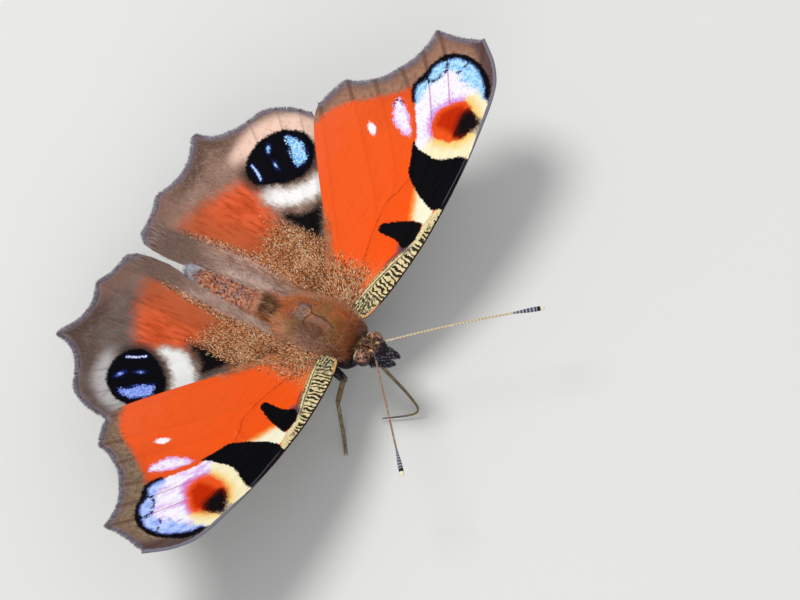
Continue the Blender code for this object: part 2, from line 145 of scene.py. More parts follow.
def make_mesh(name, points, faces, fields=None, maps=None):
    """An object of triangles or quads in millimetres, with its named fields and UV maps."""
    points = placed(points)
    faces = np.asarray(faces, np.int32)
    count, corners = faces.shape
    mesh = bpy.data.meshes.new(name)
    mesh.vertices.add(len(points))
    mesh.vertices.foreach_set("co", points.astype(np.float32).ravel())
    mesh.loops.add(count * corners)
    mesh.loops.foreach_set("vertex_index", faces.ravel())
    mesh.polygons.add(count)
    mesh.polygons.foreach_set("loop_start", np.arange(0, count * corners, corners, dtype=np.int32))
    mesh.update(calc_edges=True)
    mesh.shade_smooth()
    for key, values in (fields or {}).items():
        values = np.asarray(values, np.float32)
        if values.ndim == 1:
            mesh.attributes.new(key, "FLOAT", "POINT").data.foreach_set("value", values)
        else:
            mesh.attributes.new(key, "FLOAT_VECTOR", "POINT").data.foreach_set(
                "vector", values.ravel())
    for key, values in (maps or {}).items():
        corner_values = np.asarray(values, np.float32)[faces.ravel()]
        mesh.uv_layers.new(name=key).data.foreach_set("uv", corner_values.ravel())
    made = bpy.data.objects.new(name, mesh)
    bpy.context.scene.collection.objects.link(made)
    return made


def finished(piece, slot, materials, replaced=()):
    """Gives a piece its materials and its place in the frame."""
    for material in materials:
        piece.data.materials.append(material)
    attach(piece, "root")
    if replaced:
        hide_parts(*replaced)
    return piece


def mirrored(points, side):
    return np.asarray(points, float) * (side, 1.0, 1.0)


def unit(vectors):
    return vectors / np.maximum(np.linalg.norm(vectors, axis=-1, keepdims=True), 1e-9)


def point_normals(points, faces):
    """The way each point of a mesh faces."""
    corners = points[faces]
    flat = np.cross(corners[:, 1] - corners[:, 0], corners[:, -1] - corners[:, 0])
    total = np.zeros_like(points)
    for k in range(faces.shape[1]):
        np.add.at(total, faces[:, k], flat)
    return unit(total)


def scatter(points, faces, density, count, rng, carried):
    """Random places on a mesh of triangles, with the normal and the carried values there."""
    corners = points[faces]
    area = np.linalg.norm(np.cross(corners[:, 1] - corners[:, 0],
                                   corners[:, 2] - corners[:, 0]), axis=1)
    weight = area * np.maximum(density[faces].mean(axis=1), 0.0)
    chosen = faces[rng.choice(len(faces), count, p=weight / weight.sum())]
    u, v = rng.random(count), rng.random(count)
    flip = u + v > 1
    u[flip], v[flip] = 1 - u[flip], 1 - v[flip]
    shares = np.stack([1 - u - v, u, v], axis=1)

    def at(values):
        corner = values[chosen]
        if corner.ndim == 2:
            return (corner * shares).sum(axis=1)
        return (corner * shares[:, :, None]).sum(axis=1)

    return at(points), unit(at(point_normals(points, faces))), [at(values) for values in carried]


TUFT_FACES = np.array([(0, 2, 1), (0, 1, 4), (0, 4, 3), (1, 2, 5), (1, 5, 4), (2, 0, 3),
                       (2, 3, 5), (3, 4, 6), (4, 5, 6), (5, 3, 6)])
TUFT_POINTS = 7
PATCH_SIZE = 0.003               # of one tuft on the bake's map
ROOT_DEPTH = 0.02                # of a tuft's root in the skin


def grow(name, root, along, normal, length, width, rng, lift=0.3, droop=0.5, flat=0.35,
         widest=0.4, fields=None, unwrapped=None):
    """Closed tapered tufts, one at each root, that rise from the skin and bend back to it."""
    count = len(root)
    length = np.broadcast_to(length, count)[:, None]
    width = np.broadcast_to(width, count)[:, None]
    lift = np.broadcast_to(lift, count)[:, None]
    along = unit(along - (along * normal).sum(axis=1, keepdims=True) * normal)
    across = np.cross(along, normal)
    out = unit(along * (1 - lift) + normal * lift)
    middle = root + out * length * widest
    tip = root + out * length - normal * length * droop * lift
    rise = normal * width * flat
    points = np.stack([root - across * width * 0.3, root + across * width * 0.3,
                       root + rise * 0.5,
                       middle - across * width * 0.5, middle + across * width * 0.5,
                       middle + rise, tip], axis=1)
    faces = (TUFT_FACES[None] + TUFT_POINTS * np.arange(count)[:, None, None]).reshape(-1, 3)
    spread = {key: np.repeat(values, TUFT_POINTS, axis=0) for key, values in (fields or {}).items()}
    spread["tone"] = np.repeat(rng.random(count), TUFT_POINTS)
    spread["reach"] = np.tile([0.0, 0.0, 0.0, 0.5, 0.5, 0.5, 1.0], count)
    corner = np.array([(-1, -1), (1, -1), (0, -1), (-1, 0), (1, 0), (0, 0), (0, 1)]) * 0.5
    bake = (unwrapped[:, None] + corner[None] * PATCH_SIZE).reshape(-1, 2)
    return make_mesh(name, points.reshape(-1, 3), faces, spread, {"OFBake": bake})


def on_map(unwrapped):
    """Unwrapped places, kept clear of the border of the bake's map."""
    return 0.02 + 0.96 * unwrapped


def strips(rows, width, after):
    """Quads between rows of points, each row width long; after holds each point's next one."""
    low = np.arange(rows - 1)[:, None] * width
    here, after = low + np.arange(len(after)), low + after
    return np.stack([here, here + width, after + width, after], axis=2).reshape(-1, 4)


def given(value, places):
    """A number as it is, or what a function makes of places."""
    return value(places) if callable(value) else value


def tube(route, radii, sides, side=1):
    """A round tube along a route, closed at both ends: its points, its triangles, and at each
    point the way ahead and the distance walked. It is flipped for the right side."""
    route = np.asarray(route, float)
    radii = np.broadcast_to(radii, len(route))
    ahead = unit(np.gradient(route, axis=0))
    across = np.cross(ahead[0], (0.0, 0.0, 1.0))
    if np.linalg.norm(across) < 0.1:
        across = np.cross(ahead[0], (0.0, 1.0, 0.0))
    rings = []
    for place, forward, radius in zip(route, ahead, radii):
        across = unit(across - (across @ forward) * forward)
        up = np.cross(across, forward)
        turn = np.arange(sides) * math.tau / sides
        rings.append(place + radius * (np.outer(np.cos(turn), across) + np.outer(np.sin(turn), up)))
    points = np.vstack(rings + [route[:1], route[-1:]])
    around = np.arange(sides)
    after = (around + 1) % sides
    quads = strips(len(route), sides, after)
    first, last = len(route) * sides, len(route) * sides + 1
    end = (len(route) - 1) * sides
    triangles = [np.stack([around * 0 + first, around, after], axis=1),
                 np.stack([around * 0 + last, end + after, end + around], axis=1)]
    split = np.vstack([quads[:, [0, 1, 2]], quads[:, [0, 2, 3]]] + triangles)
    walked = np.concatenate([[0.0], np.cumsum(np.linalg.norm(np.diff(route, axis=0), axis=1))])
    forward = np.vstack([np.repeat(ahead, sides, axis=0), ahead[:1], ahead[-1:]])
    walked = np.concatenate([np.repeat(walked, sides), walked[:1], walked[-1:]])
    if side < 0:
        points, forward, split = mirrored(points, -1), mirrored(forward, -1), split[:, ::-1]
    return points, split, forward, walked


def joined(parts):
    """Several lots of points, triangles and values at the points as one."""
    start, faces = 0, []
    for part in parts:
        faces.append(part[1] + start)
        start += len(part[0])
    values = [np.concatenate(column) for column in list(zip(*parts))[2:]]
    return (np.vstack([part[0] for part in parts]), np.vstack(faces), *values)


# Materials


def ink(code):
    """A screen colour such as #C08040 as Blender's linear one."""
    values = [int(code[k:k + 2], 16) / 255 for k in (1, 3, 5)]
    return tuple(v / 12.92 if v <= 0.04045 else ((v + 0.055) / 1.055) ** 2.4 for v in values)


class Value:
    """What a node gives. Sums, differences and products with it make further nodes."""

    def __init__(self, finish, socket):
        self.finish, self.socket = finish, socket

    def math(self, operation, *values):
        return self.finish.value("Math", {"operation": operation}, dict(enumerate(values)))

    def __add__(self, other):
        return self.math("ADD", self, other)

    def __radd__(self, other):
        return self.math("ADD", other, self)

    def __sub__(self, other):
        return self.math("SUBTRACT", self, other)

    def __rsub__(self, other):
        return self.math("SUBTRACT", other, self)

    def __mul__(self, other):
        return self.math("MULTIPLY", self, other)

    def __neg__(self):
        return self * -1.0

    def __abs__(self):
        return self.math("ABSOLUTE", self)

    def most(self, other):
        return self.math("MAXIMUM", self, other)

    def step(self, low, high):
        """0 where the value is at low, 1 where it is at high, and smooth between."""
        return self.finish.value("MapRange", {"interpolation_type": "SMOOTHSTEP"},
                                 {0: self, 1: low, 2: high})


class Finish:
    """A material whose colour and relief nodes work out from a piece's own fields."""

    def __init__(self, name, roughness, specular=0.3, sheen=0.0):
        self.material = bpy.data.materials.new(name)
        self.material.use_nodes = True
        self.tree = self.material.node_tree
        self.shader = self.tree.nodes["Principled BSDF"]
        self.shader.inputs["Roughness"].default_value = roughness
        self.shader.inputs["Specular IOR Level"].default_value = specular
        self.shader.inputs["Sheen Weight"].default_value = sheen
        self.colour = None

    def node(self, kind, settings, inputs):
        node = self.tree.nodes.new("ShaderNode" + kind)
        for key, value in settings.items():
            setattr(node, key, value)
        for key, value in inputs.items():
            self.plug(node.inputs[key], value)
        return node

    def value(self, kind, settings, inputs, output=0):
        return Value(self, self.node(kind, settings, inputs).outputs[output])

    def plug(self, socket, value):
        if isinstance(value, Value):
            self.tree.links.new(value.socket, socket)
        elif isinstance(value, str):
            socket.default_value = (*ink(value), 1.0)
        else:
            socket.default_value = value

    def field(self, name):
        return self.value("Attribute", {"attribute_name": name}, {}, "Fac")

    def spot(self, name):
        return self.value("Attribute", {"attribute_name": name}, {}, "Vector")

    def wave(self, turns):
        """A sine of a value counted in turns."""
        return self.value("Math", {"operation": "SINE"}, {0: turns * math.tau})

    def scaled(self, vector, factors):
        return self.value("VectorMath", {"operation": "MULTIPLY"}, {0: vector, 1: factors})

    def parts(self, vector):
        return [Value(self, part) for part in self.node("SeparateXYZ", {}, {0: vector}).outputs]

    def mix(self, share, under, over):
        return self.value("Mix", {"data_type": "RGBA"}, {0: share, 6: under, 7: over}, 2)

    def paint(self, share, over):
        """Lays a colour over a share of what is there."""
        self.colour = self.mix(share, self.colour, over)

    def noise(self, vector, scale, detail=2.0, roughness=0.5):
        """Noise about 0, from about -0.5 to 0.5."""
        inputs = {"Vector": vector, "Scale": scale, "Detail": detail, "Roughness": roughness}
        return self.value("TexNoise", {}, inputs, "Fac") - 0.5

    def cells(self, vector, scale):
        """Three random values for each small cell, and the distance from its middle."""
        made = self.node("TexVoronoi", {}, {"Vector": vector, "Scale": scale}).outputs
        return (*self.parts(Value(self, made["Color"])), Value(self, made["Distance"]))

    def jagged(self, cell, wobble):
        """Gives fields an edge that follows whole scales and wavers a little."""
        return lambda name, ragged, waved=0.15: self.field(name) + ((cell - 0.5) * ragged + wobble * waved)

    def done(self, relief=None, deep=0.03, strength=0.7):
        """Plugs in the colour and the relief, which is deep millimetres for each unit."""
        self.plug(self.shader.inputs["Base Color"], self.colour)
        if relief is not None:
            bump = self.value("Bump", {}, {"Height": relief, "Strength": strength,
                                           "Distance": deep * MM})
            self.plug(self.shader.inputs["Normal"], bump)
        return self.material


# The body's sections, from face to tail: y, half width, top and bottom of the bare skin.
SKIN_STATIONS = [
    (-3.22, 0.30, -0.30, -0.75),
    (-3.08, 0.62, 0.10, -1.05),
    (-2.75, 0.92, 0.50, -1.35),
    (-2.20, 1.05, 0.72, -1.48),
    (-1.60, 0.98, 0.64, -1.40),
    (-1.15, 0.72, 0.36, -1.18),
    (-0.92, 0.62, 0.22, -1.08),
    (-0.65, 0.95, 0.50, -1.45),
    (-0.20, 1.50, 1.10, -2.20),
    (0.20, 1.72, 1.40, -2.70),
    (1.50, 2.12, 1.80, -3.35),
    (3.20, 2.20, 1.90, -3.55),
    (5.00, 1.88, 1.50, -3.20),
    (6.60, 1.35, 0.95, -2.60),
    (7.60, 1.28, 0.78, -2.48),
    (9.20, 1.58, 0.60, -2.75),
    (11.20, 1.74, 0.38, -2.90),
    (13.20, 1.56, 0.38, -2.60),
    (15.00, 1.06, 0.54, -1.80),
    (15.90, 0.55, 0.58, -1.00),
    (16.15, 0.22, 0.35, -0.40),
]
WAIST_Y = 7.0
ABDOMEN_END_Y = 16.1
SEGMENTS = 7
# The creases between the back's bare plates, seen from above.
CREASES = [[(0.86, 4.13), (0.39, 3.80), (0.01, 3.54), (-0.62, 3.81), (-1.10, 3.94), (-1.56, 3.87)],
           [(0.01, 3.54), (0.0, 3.08), (-0.01, 2.62), (-0.12, 2.0), (-0.23, 1.44), (-0.51, 0.92)]]
PLATE = (-0.95, 2.3)             # middle of the right plate
PLATE_SIZE = (1.1, 1.5)          # its half width and half length
SKIN_SPACING = 0.085             # between the skin's rings
SKIN_SIDES = 96


def section(y):
    """Half width, top and bottom of the skin at places along it."""
    path = spline(SKIN_STATIONS, 10)
    return [np.interp(y, path[:, 0], path[:, k]) for k in (1, 2, 3)]


def crease_gap(places):
    """How far places seen from above are from the back's creases."""
    flat = places.reshape(-1, 2)
    return line_gap(flat, CREASES).reshape(places.shape[:-1])


def skin_relief(x, y, over):
    """How far the skin is raised: creases of the back and grooves of the abdomen."""
    crease = np.exp(-(crease_gap(np.stack([x, y], axis=-1)) / 0.08) ** 2)
    behind = np.exp(-((y - 5.15 + 0.25 * x ** 2) / 0.1) ** 2) * (1 - smooth(np.abs(x), 1.1, 1.4))
    lobes = 0.1 * np.exp(-((np.abs(x) - 0.8) / 0.6) ** 2 - ((y - 2.2) / 1.1) ** 2)
    shield = 0.14 * np.exp(-(x / 0.8) ** 2 - ((y - 4.3) / 0.6) ** 2)
    back = over * (lobes + shield - 0.1 * crease - 0.07 * behind)
    length = (ABDOMEN_END_Y - WAIST_Y) / SEGMENTS
    share = ((y - WAIST_Y) / length) % 1.0
    groove = -0.09 * np.exp(-(np.minimum(share, 1 - share) / 0.1) ** 2) * smooth(y, 7.6, 8.2)
    return back + groove


def body_skin():
    """One skin from face to tail: points, triangles, and each point's unwrapped place."""
    places = evenly(spline(SKIN_STATIONS, 10), SKIN_SPACING)[:, 0]
    sides = SKIN_SIDES
    turn = np.arange(sides + 1) * math.tau / sides - math.pi
    half_width, top, bottom = [values[:, None] for values in section(places)]
    y = np.broadcast_to(places[:, None], (len(places), sides + 1))
    x = half_width * np.sin(turn)
    z = (top + bottom) / 2 + (top - bottom) / 2 * np.cos(turn)
    over = smooth(np.broadcast_to(np.cos(turn), y.shape), 0.1, 0.6)
    raised = skin_relief(x, y, over)
    x = x + raised * np.sin(turn)
    z = z + raised * np.cos(turn)
    points = np.stack([x, y, z], axis=2).reshape(-1, 3)
    unwrapped = np.stack([np.broadcast_to(turn / math.tau + 0.5, y.shape),
                          (y - places[0]) / (places[-1] - places[0])], axis=2).reshape(-1, 2)
    quads = strips(len(places), sides + 1, np.arange(sides) + 1)
    triangles = np.vstack([quads[:, [0, 2, 1]], quads[:, [0, 3, 2]]])
    return points, triangles, on_map(unwrapped)


def body_finish(name, hairy):
    """The body's colours, the same on skin and coat, by place from head to tail."""
    f = Finish(name, 0.7 if hairy else 0.45, 0.12)
    place = f.spot("place")
    x, y, z = f.parts(place)
    far = abs(x)
    tone = f.field("tone")
    reach = f.field("reach")
    wobble = f.noise(place, 0.9, 3.0)
    fine = f.noise(place, 3.5, 3.0)
    speck = f.cells(place, 7.0)

    def near(value, middle, half, soft):
        """1 within half of the middle, down to 0 by soft further out."""
        return abs(value - middle).step(half + soft, half)

    def from_spot(middle_x, middle_y, across, along, ragged):
        """0 in the middle of a spot seen from above, and about 1 at its edge."""
        u, v = (x - middle_x) * across, (y - middle_y) * along
        return u * u + v * v + wobble * ragged

    # Thorax: rufous hair with olive and mauve patches, paler at the sides, painted light on the lower
    # right flank, painted shade in front and at the neck
    patches = f.noise(place, 0.6, 2.0)
    f.colour = f.mix(wobble.step(-0.15, 0.15), "#E8884A", "#D67C50")
    olive = (patches + fine * 0.3).step(0.0, 0.14)
    f.paint(olive * 0.6, "#9E8A56")
    f.paint(patches.step(-0.05, -0.2) * 0.5, "#C48E7E")
    # Painted light: paler hair over the lower right flank
    low = (z + wobble * 1.2).step(1.3, 0.3)
    painted_light_flank = f.mix(tone.step(0.45, 0.7), "#FAB070", "#FCD2BC")
    low = low * (0.4 + y.step(4.4, 2.8) * 0.52)
    f.paint(low * x.step(0.0, -0.8), painted_light_flank)
    # Painted shade over the front of the thorax, darkest at the neck
    front = (y + wobble * 1.4).step(1.7, 0.2) * x.step(1.5, 0.3)
    f.paint(front, "#A86236")
    f.paint((y + wobble * 0.5).step(-0.1, -0.8), "#542E16")
    reddish = near(y, 6.4, 0.6, 0.9) * (x + wobble).step(-0.2, 0.6)
    f.paint(reddish * 0.8, "#F08C50")
    # Pale mauve hairs among the rufous ones over the wing roots and beside the waist
    shoulder = tone.step(0.66, 0.72) * (far + wobble * 0.6).step(1.4, 1.8)
    f.paint(shoulder * 0.85, f.mix((y + x).step(3.0, 1.6), "#F6CDB4", "#DCC8D0"))
    arch = near(y + wobble * 1.5, 7.6, 1.1, 1.0) * (x + wobble).step(0.4, 1.0)
    f.paint(arch * tone.step(0.2, 0.6), "#F2C4AE")
    mauve_neck = (y + wobble * 0.8).step(0.35, -0.15) * x.step(0.2, 0.8)
    f.paint(mauve_neck * 0.8, f.mix(tone.step(0.45, 0.9), "#6E4A38", "#A8969C"))
    # The bare plates of the back: mauve-brown in an olive ring, and a greyer shield behind, with painted
    # shade in the creases
    away = from_spot(*PLATE, 1 / PLATE_SIZE[0], 1 / PLATE_SIZE[1], 0.5)
    upper = (z + wobble * 0.6).step(0.15, 0.85)
    ring = away.step(0.8, 1.1) * away.step(2.1, 1.4) * upper
    f.paint(ring * 0.5, "#A08E58")
    freckle = f.noise(place, 8.0, 3.0) + fine * 0.5
    mauve = f.mix(wobble.step(-0.1, 0.15), "#6E4C3E", "#875F50")
    mauve = f.mix(freckle.step(0.03, 0.16) * 0.6, mauve, "#4A3028")
    mauve = f.mix(freckle.step(-0.05, -0.2) * 0.5, mauve, "#A9806C")
    mauve = f.mix(x.step(-1.1, -1.7) * 0.6, mauve, "#BC9480")
    ragged_plate = away + (tone - 0.5) * 0.4
    f.paint(ragged_plate.step(1.25, 0.65) * upper * 0.85, mauve)
    shield = near(y, 4.45, 0.4, 0.4) * (far + wobble * 0.8).step(1.25, 0.7)
    corner = from_spot(0.65, 3.55, 1.9, 2.3, 0.8)
    shield = shield.most(corner.step(1.2, 0.4) * 0.8)
    greyish = f.mix(freckle.step(-0.12, 0.12), "#5E4E48", "#A08C84")
    f.paint(shield * upper * 0.85, greyish)
    # Painted shade in the creases of the back
    crease = (f.field("crease") + fine * 0.14).step(0.16, 0.02)
    f.paint(crease * upper * 0.8, "#3C241D")
    # Abdomen: rusty and tan scales with dark and grey ones in rows, and silky mauve flanks
    bands = f.wave((y - 7.0) * 0.77)
    abdomen = f.mix((speck[0] + fine * 0.8).step(0.3, 0.6), "#AE5E36", "#D09270")
    cool = speck[1] + wobble * 0.7 + bands * 0.16
    abdomen = f.mix(cool.step(0.72, 0.86) * 0.75, abdomen, "#958A96")
    rows = (y + wobble * 2.0).step(8.6, 10.6)
    points_dark = (speck[2] + bands * 0.08).step(0.62, 0.74)
    abdomen = f.mix(points_dark * (0.2 + rows * 0.65), abdomen, "#35221E")
    abdomen = f.mix((1.0 - rows) * 0.5, abdomen, "#A87460")
    side = f.mix((x + wobble * 0.8).step(-0.3, 0.6), "#EEC0B0", "#F6D6C4")
    side = f.mix(tone.step(0.5, 0.8) * 0.6, side, "#FCE6DA")
    side = f.mix(tone.step(0.2, 0.0) * 0.4, side, "#B08E84")
    side = f.mix((y + wobble * 2.0).step(12.5, 15.5), side, "#A8949A")
    off_strip = abs(x + 0.4)
    ragged = off_strip + (wobble * 0.6 + tone * 0.35)
    abdomen = f.mix(ragged.step(1.2, 1.6), abdomen, side)
    abdomen = f.mix((z + wobble).step(-1.2, -2.1), abdomen, "#3A2A22")
    f.paint((y + (wobble * 2.0 + tone)).step(7.2, 9.2), abdomen)
    glow = near(y, 7.6, 0.5, 0.6) * (x + wobble * 0.6).step(-0.6, -1.1)
    f.paint(glow * z.step(-1.2, -0.8) * 0.85, "#F08A4E")
    waist = from_spot(-0.3, 7.45, 0.85, 0.75, 1.3)
    waist_tone = f.mix((speck[1] + fine).step(0.6, 0.8), "#3C2A1C", "#B4885A")
    f.paint(waist.step(1.15, 0.4) * z.step(-0.6, 0.1) * 0.85, waist_tone)
    f.paint((y + wobble).step(14.9, 15.5), "#C8CAD4")
    # Underneath it is dark, and nearly blue-black in front where the forelegs lie
    f.paint((z + wobble * 0.8).step(-1.1, -2.0), "#33271F")
    under = z + wobble * 0.5 + y * 0.3
    throat = under.step(-0.4, -0.95) * y.step(2.2, 1.0)
    f.paint(throat, f.mix(tone.step(0.5, 0.95), "#121118", "#3B4150"))
    # Head: dark hair with rufous and cream between, grey-black over the face
    head = f.mix((tone + fine * 0.6).step(0.36, 0.46), "#2A1B16", "#94603C")
    head = f.mix((tone + wobble * 0.5).step(0.74, 0.8), head, "#E8C8A4")
    face = f.mix(tone.step(0.5, 0.9), "#1C181E", "#7C7082")
    face_share = (-y + z * -0.6 + wobble * 0.4).step(2.45, 2.75)
    head = f.mix(face_share, head, face)
    f.paint((y + wobble * 0.6).step(-0.5, -1.0), head)
    f.paint(z.step(-1.0, -2.2) * 0.8, "#211A1A")
    # Each tuft is a little lighter or darker, with painted shade at its root
    f.paint(tone.step(0.4, 0.0) * 0.2, "#3A2014")
    f.paint(tone.step(0.7, 1.0) * 0.2, "#E0B694")
    # Painted shade at each tuft's root
    f.paint((1.0 - reach) * (0.1 if hairy else 0.0), "#2C190F")
    relief = fine + f.noise(f.scaled(place, (9.0, 2.0, 9.0)), 1.0)
    return f.done(relief, 0.05)


def build_body():
    rng = np.random.default_rng(11)
    points, faces, unwrapped = body_skin()
    plain = np.full(len(points), 0.5)
    skin = make_mesh("body_skin", points, faces,
                     {"place": points, "tone": plain, "reach": plain,
                      "crease": crease_gap(points[:, :2])}, {"OFBake": unwrapped})
    merge_seam(skin)
    finished(skin, "body_hair", [body_finish("body skin", False)], ("thorax", "abdomen", "head"))
    hair = body_finish("body hair", True)

    def coat(name, count, density, length, width, lift, flow, stray=0.25, slot="body_hair",
             vary=(0.7, 1.15), droop=0.8):
        root, normal, (uv,) = scatter(points, faces, density, count, rng, [unwrapped])
        along = flow(root) + stray * rng.normal(size=root.shape)
        size = given(length, root) * rng.uniform(*vary, count)
        made = grow(name, root - normal * ROOT_DEPTH, along, normal, size,
                    width * rng.uniform(0.8, 1.2, count), rng, droop=droop,
                    lift=given(lift, root) * rng.uniform(0.5, 1.5, count),
                    fields={"place": root, "crease": crease_gap(root[:, :2])}, unwrapped=uv)
        return finished(made, slot, [hair])

    x, y, z = points.T
    far = np.abs(x)

    def bare(root):
        """How bare the back is: its right plate, and the shield behind it a little."""
        u, v, w = root.T
        off = np.hypot((u - PLATE[0]) / PLATE_SIZE[0], (v - PLATE[1]) / PLATE_SIZE[1])
        plate = 1 - smooth(off, 0.75, 1.2)
        shield = 0.85 * (1 - smooth(np.hypot(u / 1.0, (v - 4.4) / 0.7), 0.6, 1.2))
        corner = 0.8 * (1 - smooth(np.hypot((u - 0.65) / 0.5, (v - 3.55) / 0.42), 0.6, 1.2))
        crease = 0.7 * (1 - smooth(crease_gap(root[:, :2]), 0.1, 0.4))
        return np.max([plate, shield, corner, crease], axis=0) * smooth(w, 0.2, 0.7)

    def backward(root):
        side = np.sign(root[:, 0]) * smooth(np.abs(root[:, 0]), 0.5, 1.8)
        return np.stack([0.7 * side, np.ones(len(root)), -0.1 + 0 * side], axis=1)

    def sideways(root):
        """Up, back and out over the wing roots."""
        side = np.sign(root[:, 0])
        return np.stack([0.6 * side, 0.25 * (root[:, 1] - 0.5), 0.5 + 0 * side], axis=1)

    def forward(root):
        return np.stack([0.5 * root[:, 0], -np.ones(len(root)), -0.2 + 0 * root[:, 0]], axis=1)

    on_thorax = smooth(y, -0.9, -0.6) * (1 - smooth(y, 7.4, 8.2))
    bare_here = bare(points)
    for name, low, high in (("thorax_hair_front", -1.0, 3.2), ("thorax_hair_rear", 3.2, 8.2)):
        part = on_thorax * smooth(y, low - 0.4, low + 0.4) * (1 - smooth(y, high - 0.4, high + 0.4))
        coat(name, 14000, part * (1 - 0.93 * bare_here), lambda r: 0.85 - 0.55 * bare(r), 0.036,
             lambda r: 0.24 - 0.16 * bare(r), backward, 0.3)
    at_sides = (smooth(far, 0.9, 1.9) * smooth(y, -0.6, 0.2) * (1 - smooth(y, 6.0, 7.4))
                * smooth(z, -0.9, 0.1))
    coat("thorax_fringe", 8500, at_sides, 1.35, 0.034,
         lambda r: 0.28 + 0.42 * smooth(np.abs(r[:, 0]), 1.2, 2.0), sideways, 0.45,
         vary=(0.35, 1.4), droop=0.3)
    at_waist = ((1 - smooth(np.abs(y - 6.5), 0.8, 1.8)) * smooth(z, -0.6, 0.2)
                * smooth(far, 0.2, 0.7) * (0.45 + 0.55 * smooth(x, -0.2, 0.4)))
    coat("rear_tuft", 5500, at_waist,
         lambda r: 0.95 + 0.55 * smooth(r[:, 0], -0.4, 0.4), 0.034, 0.26, backward, 0.3,
         vary=(0.4, 1.3))
    at_neck = ((1 - smooth(np.abs(y + 0.1), 0.3, 0.8)) * smooth(z, -2.0, -1.0)
               * (1 + 2.5 * smooth(x, 0.3, 0.9) * smooth(z, -0.6, 0.0)))
    coat("collar", 4500, at_neck,
         lambda r: 0.9 + 0.45 * smooth(r[:, 0], 0.3, 0.9), 0.045,
         lambda r: 0.4 + 0.15 * smooth(r[:, 0], 0.3, 0.9), forward, 0.35, droop=0.5)
    below_neck = (1 - smooth(np.abs(y + 0.35), 0.4, 0.9)) * smooth(-z, 0.6, 1.2) * smooth(far, 0.2, 0.6)
    coat("throat", 3000, below_neck, 0.85, 0.05, 0.45, forward, 0.4, droop=0.3)
    on_abdomen = smooth(y, 7.4, 8.2) * (1 - smooth(y, 16.0, 16.3))
    coat("abdomen_scales", 12000, on_abdomen * smooth(z, -1.6, -1.2) * (1 - 0.6 * smooth(x, 1.0, 1.4)),
         lambda r: 0.21 + 0.25 * smooth(r[:, 0], 0.7, 1.4) + 0.9 * smooth(r[:, 1], 14.8, 15.8),
         0.068, 0.14, backward)
    flanks = np.maximum(smooth(x, 0.7, 1.2) * smooth(z, -1.4, -0.6),
                        smooth(far, 1.2, 1.6) * (1 - smooth(z, -1.1, -0.7)))
    coat("abdomen_hair", 11000, on_abdomen * flanks, 1.4, 0.036,
         lambda r: 0.18 + 0.35 * smooth(np.abs(r[:, 0]), 0.9, 1.5), backward, 0.2,
         vary=(0.4, 1.25), droop=0.4)
    on_head = (1 - smooth(y, -0.95, -0.8)) * (z > -1.6)
    coat("face_hair", 2000, (1 - smooth(y, -2.95, -2.6)) * smooth(z, -0.9, -0.4), 0.6, 0.065,
         0.85, lambda r: np.stack([0.5 * r[:, 0], -0.6 + 0 * r[:, 0], 0.8 + 0 * r[:, 0]], axis=1),
         0.35, "head_hair", droop=0.1)
    scape = np.hypot(np.hypot(far - 0.42, y + 2.55), z - 0.5)
    coat("head_hair", 5000, on_head * (1 + 0.8 * smooth(x, 0.1, 0.6)) * smooth(scape, 0.15, 0.35),
         lambda r: 0.45 + 0.5 * smooth(r[:, 2], 0.1, 0.6) * smooth(r[:, 0], 0.0, 0.6), 0.06,
         lambda r: 0.5 + 0.2 * smooth(r[:, 0], 0.0, 0.6),
         lambda r: np.stack([0.3 * r[:, 0] + 0.2 * smooth(r[:, 0], 0.2, 0.8),
                             -0.5 + 0.4 * (r[:, 1] + 2.0), 0.3 + 0 * r[:, 0]], axis=1),
         0.35, "head_hair")


def merge_seam(piece):
    """Joins the skin's two edges where it was unwrapped, and closes its ends."""
    bm = bmesh.new()
    bm.from_mesh(piece.data)
    bmesh.ops.remove_doubles(bm, verts=bm.verts, dist=1e-7)
    bmesh.ops.holes_fill(bm, edges=[edge for edge in bm.edges if edge.is_boundary], sides=0)
    bmesh.ops.recalc_face_normals(bm, faces=bm.faces)
    bm.to_mesh(piece.data)
    bm.free()
    piece.data.shade_smooth()


# Wings

HINGE_X = 1.5
HALF_MEMBRANE = 0.06             # of the visible wing; the solid's is 0.26
WING_SLACK = 0.06                # how far the membrane sags between veins
WING_SPACING = 0.15              # between points of the fine mesh
FRINGE_SCALES = 17               # for each point of the outer margin
FRINGE = 0.34                    # how far the fringe stands out past the membrane
SCALE = 9.0                      # wing scales to a millimetre


def forewing_height(x, _):
    out = x - HINGE_X
    return 0.259 * out - 0.0012 * out ** 2


def hindwing_height(x, y):
    out = x - HINGE_X
    back = y - 5.0
    return (-0.95 + 0.2035 * out + 0.0013 * out ** 2 + 0.118 * back - 0.0022 * back ** 2
            - 0.0045 * out * back)


def scallops(teeth, bays):
    """An outer margin from tooth to tooth, hollowed by a bay in each stretch."""
    teeth = np.asarray(teeth, float)
    path = []
    for start, end, deep in zip(teeth, teeth[1:], bays):
        across = end - start
        inward = np.array([-across[1], across[0]]) / np.linalg.norm(across)
        t = np.arange(20)[:, None] / 20
        path.append(start + across * t + inward * deep * 4 * t * (1 - t))
    path.append(teeth[-1:])
    return np.vstack(path)


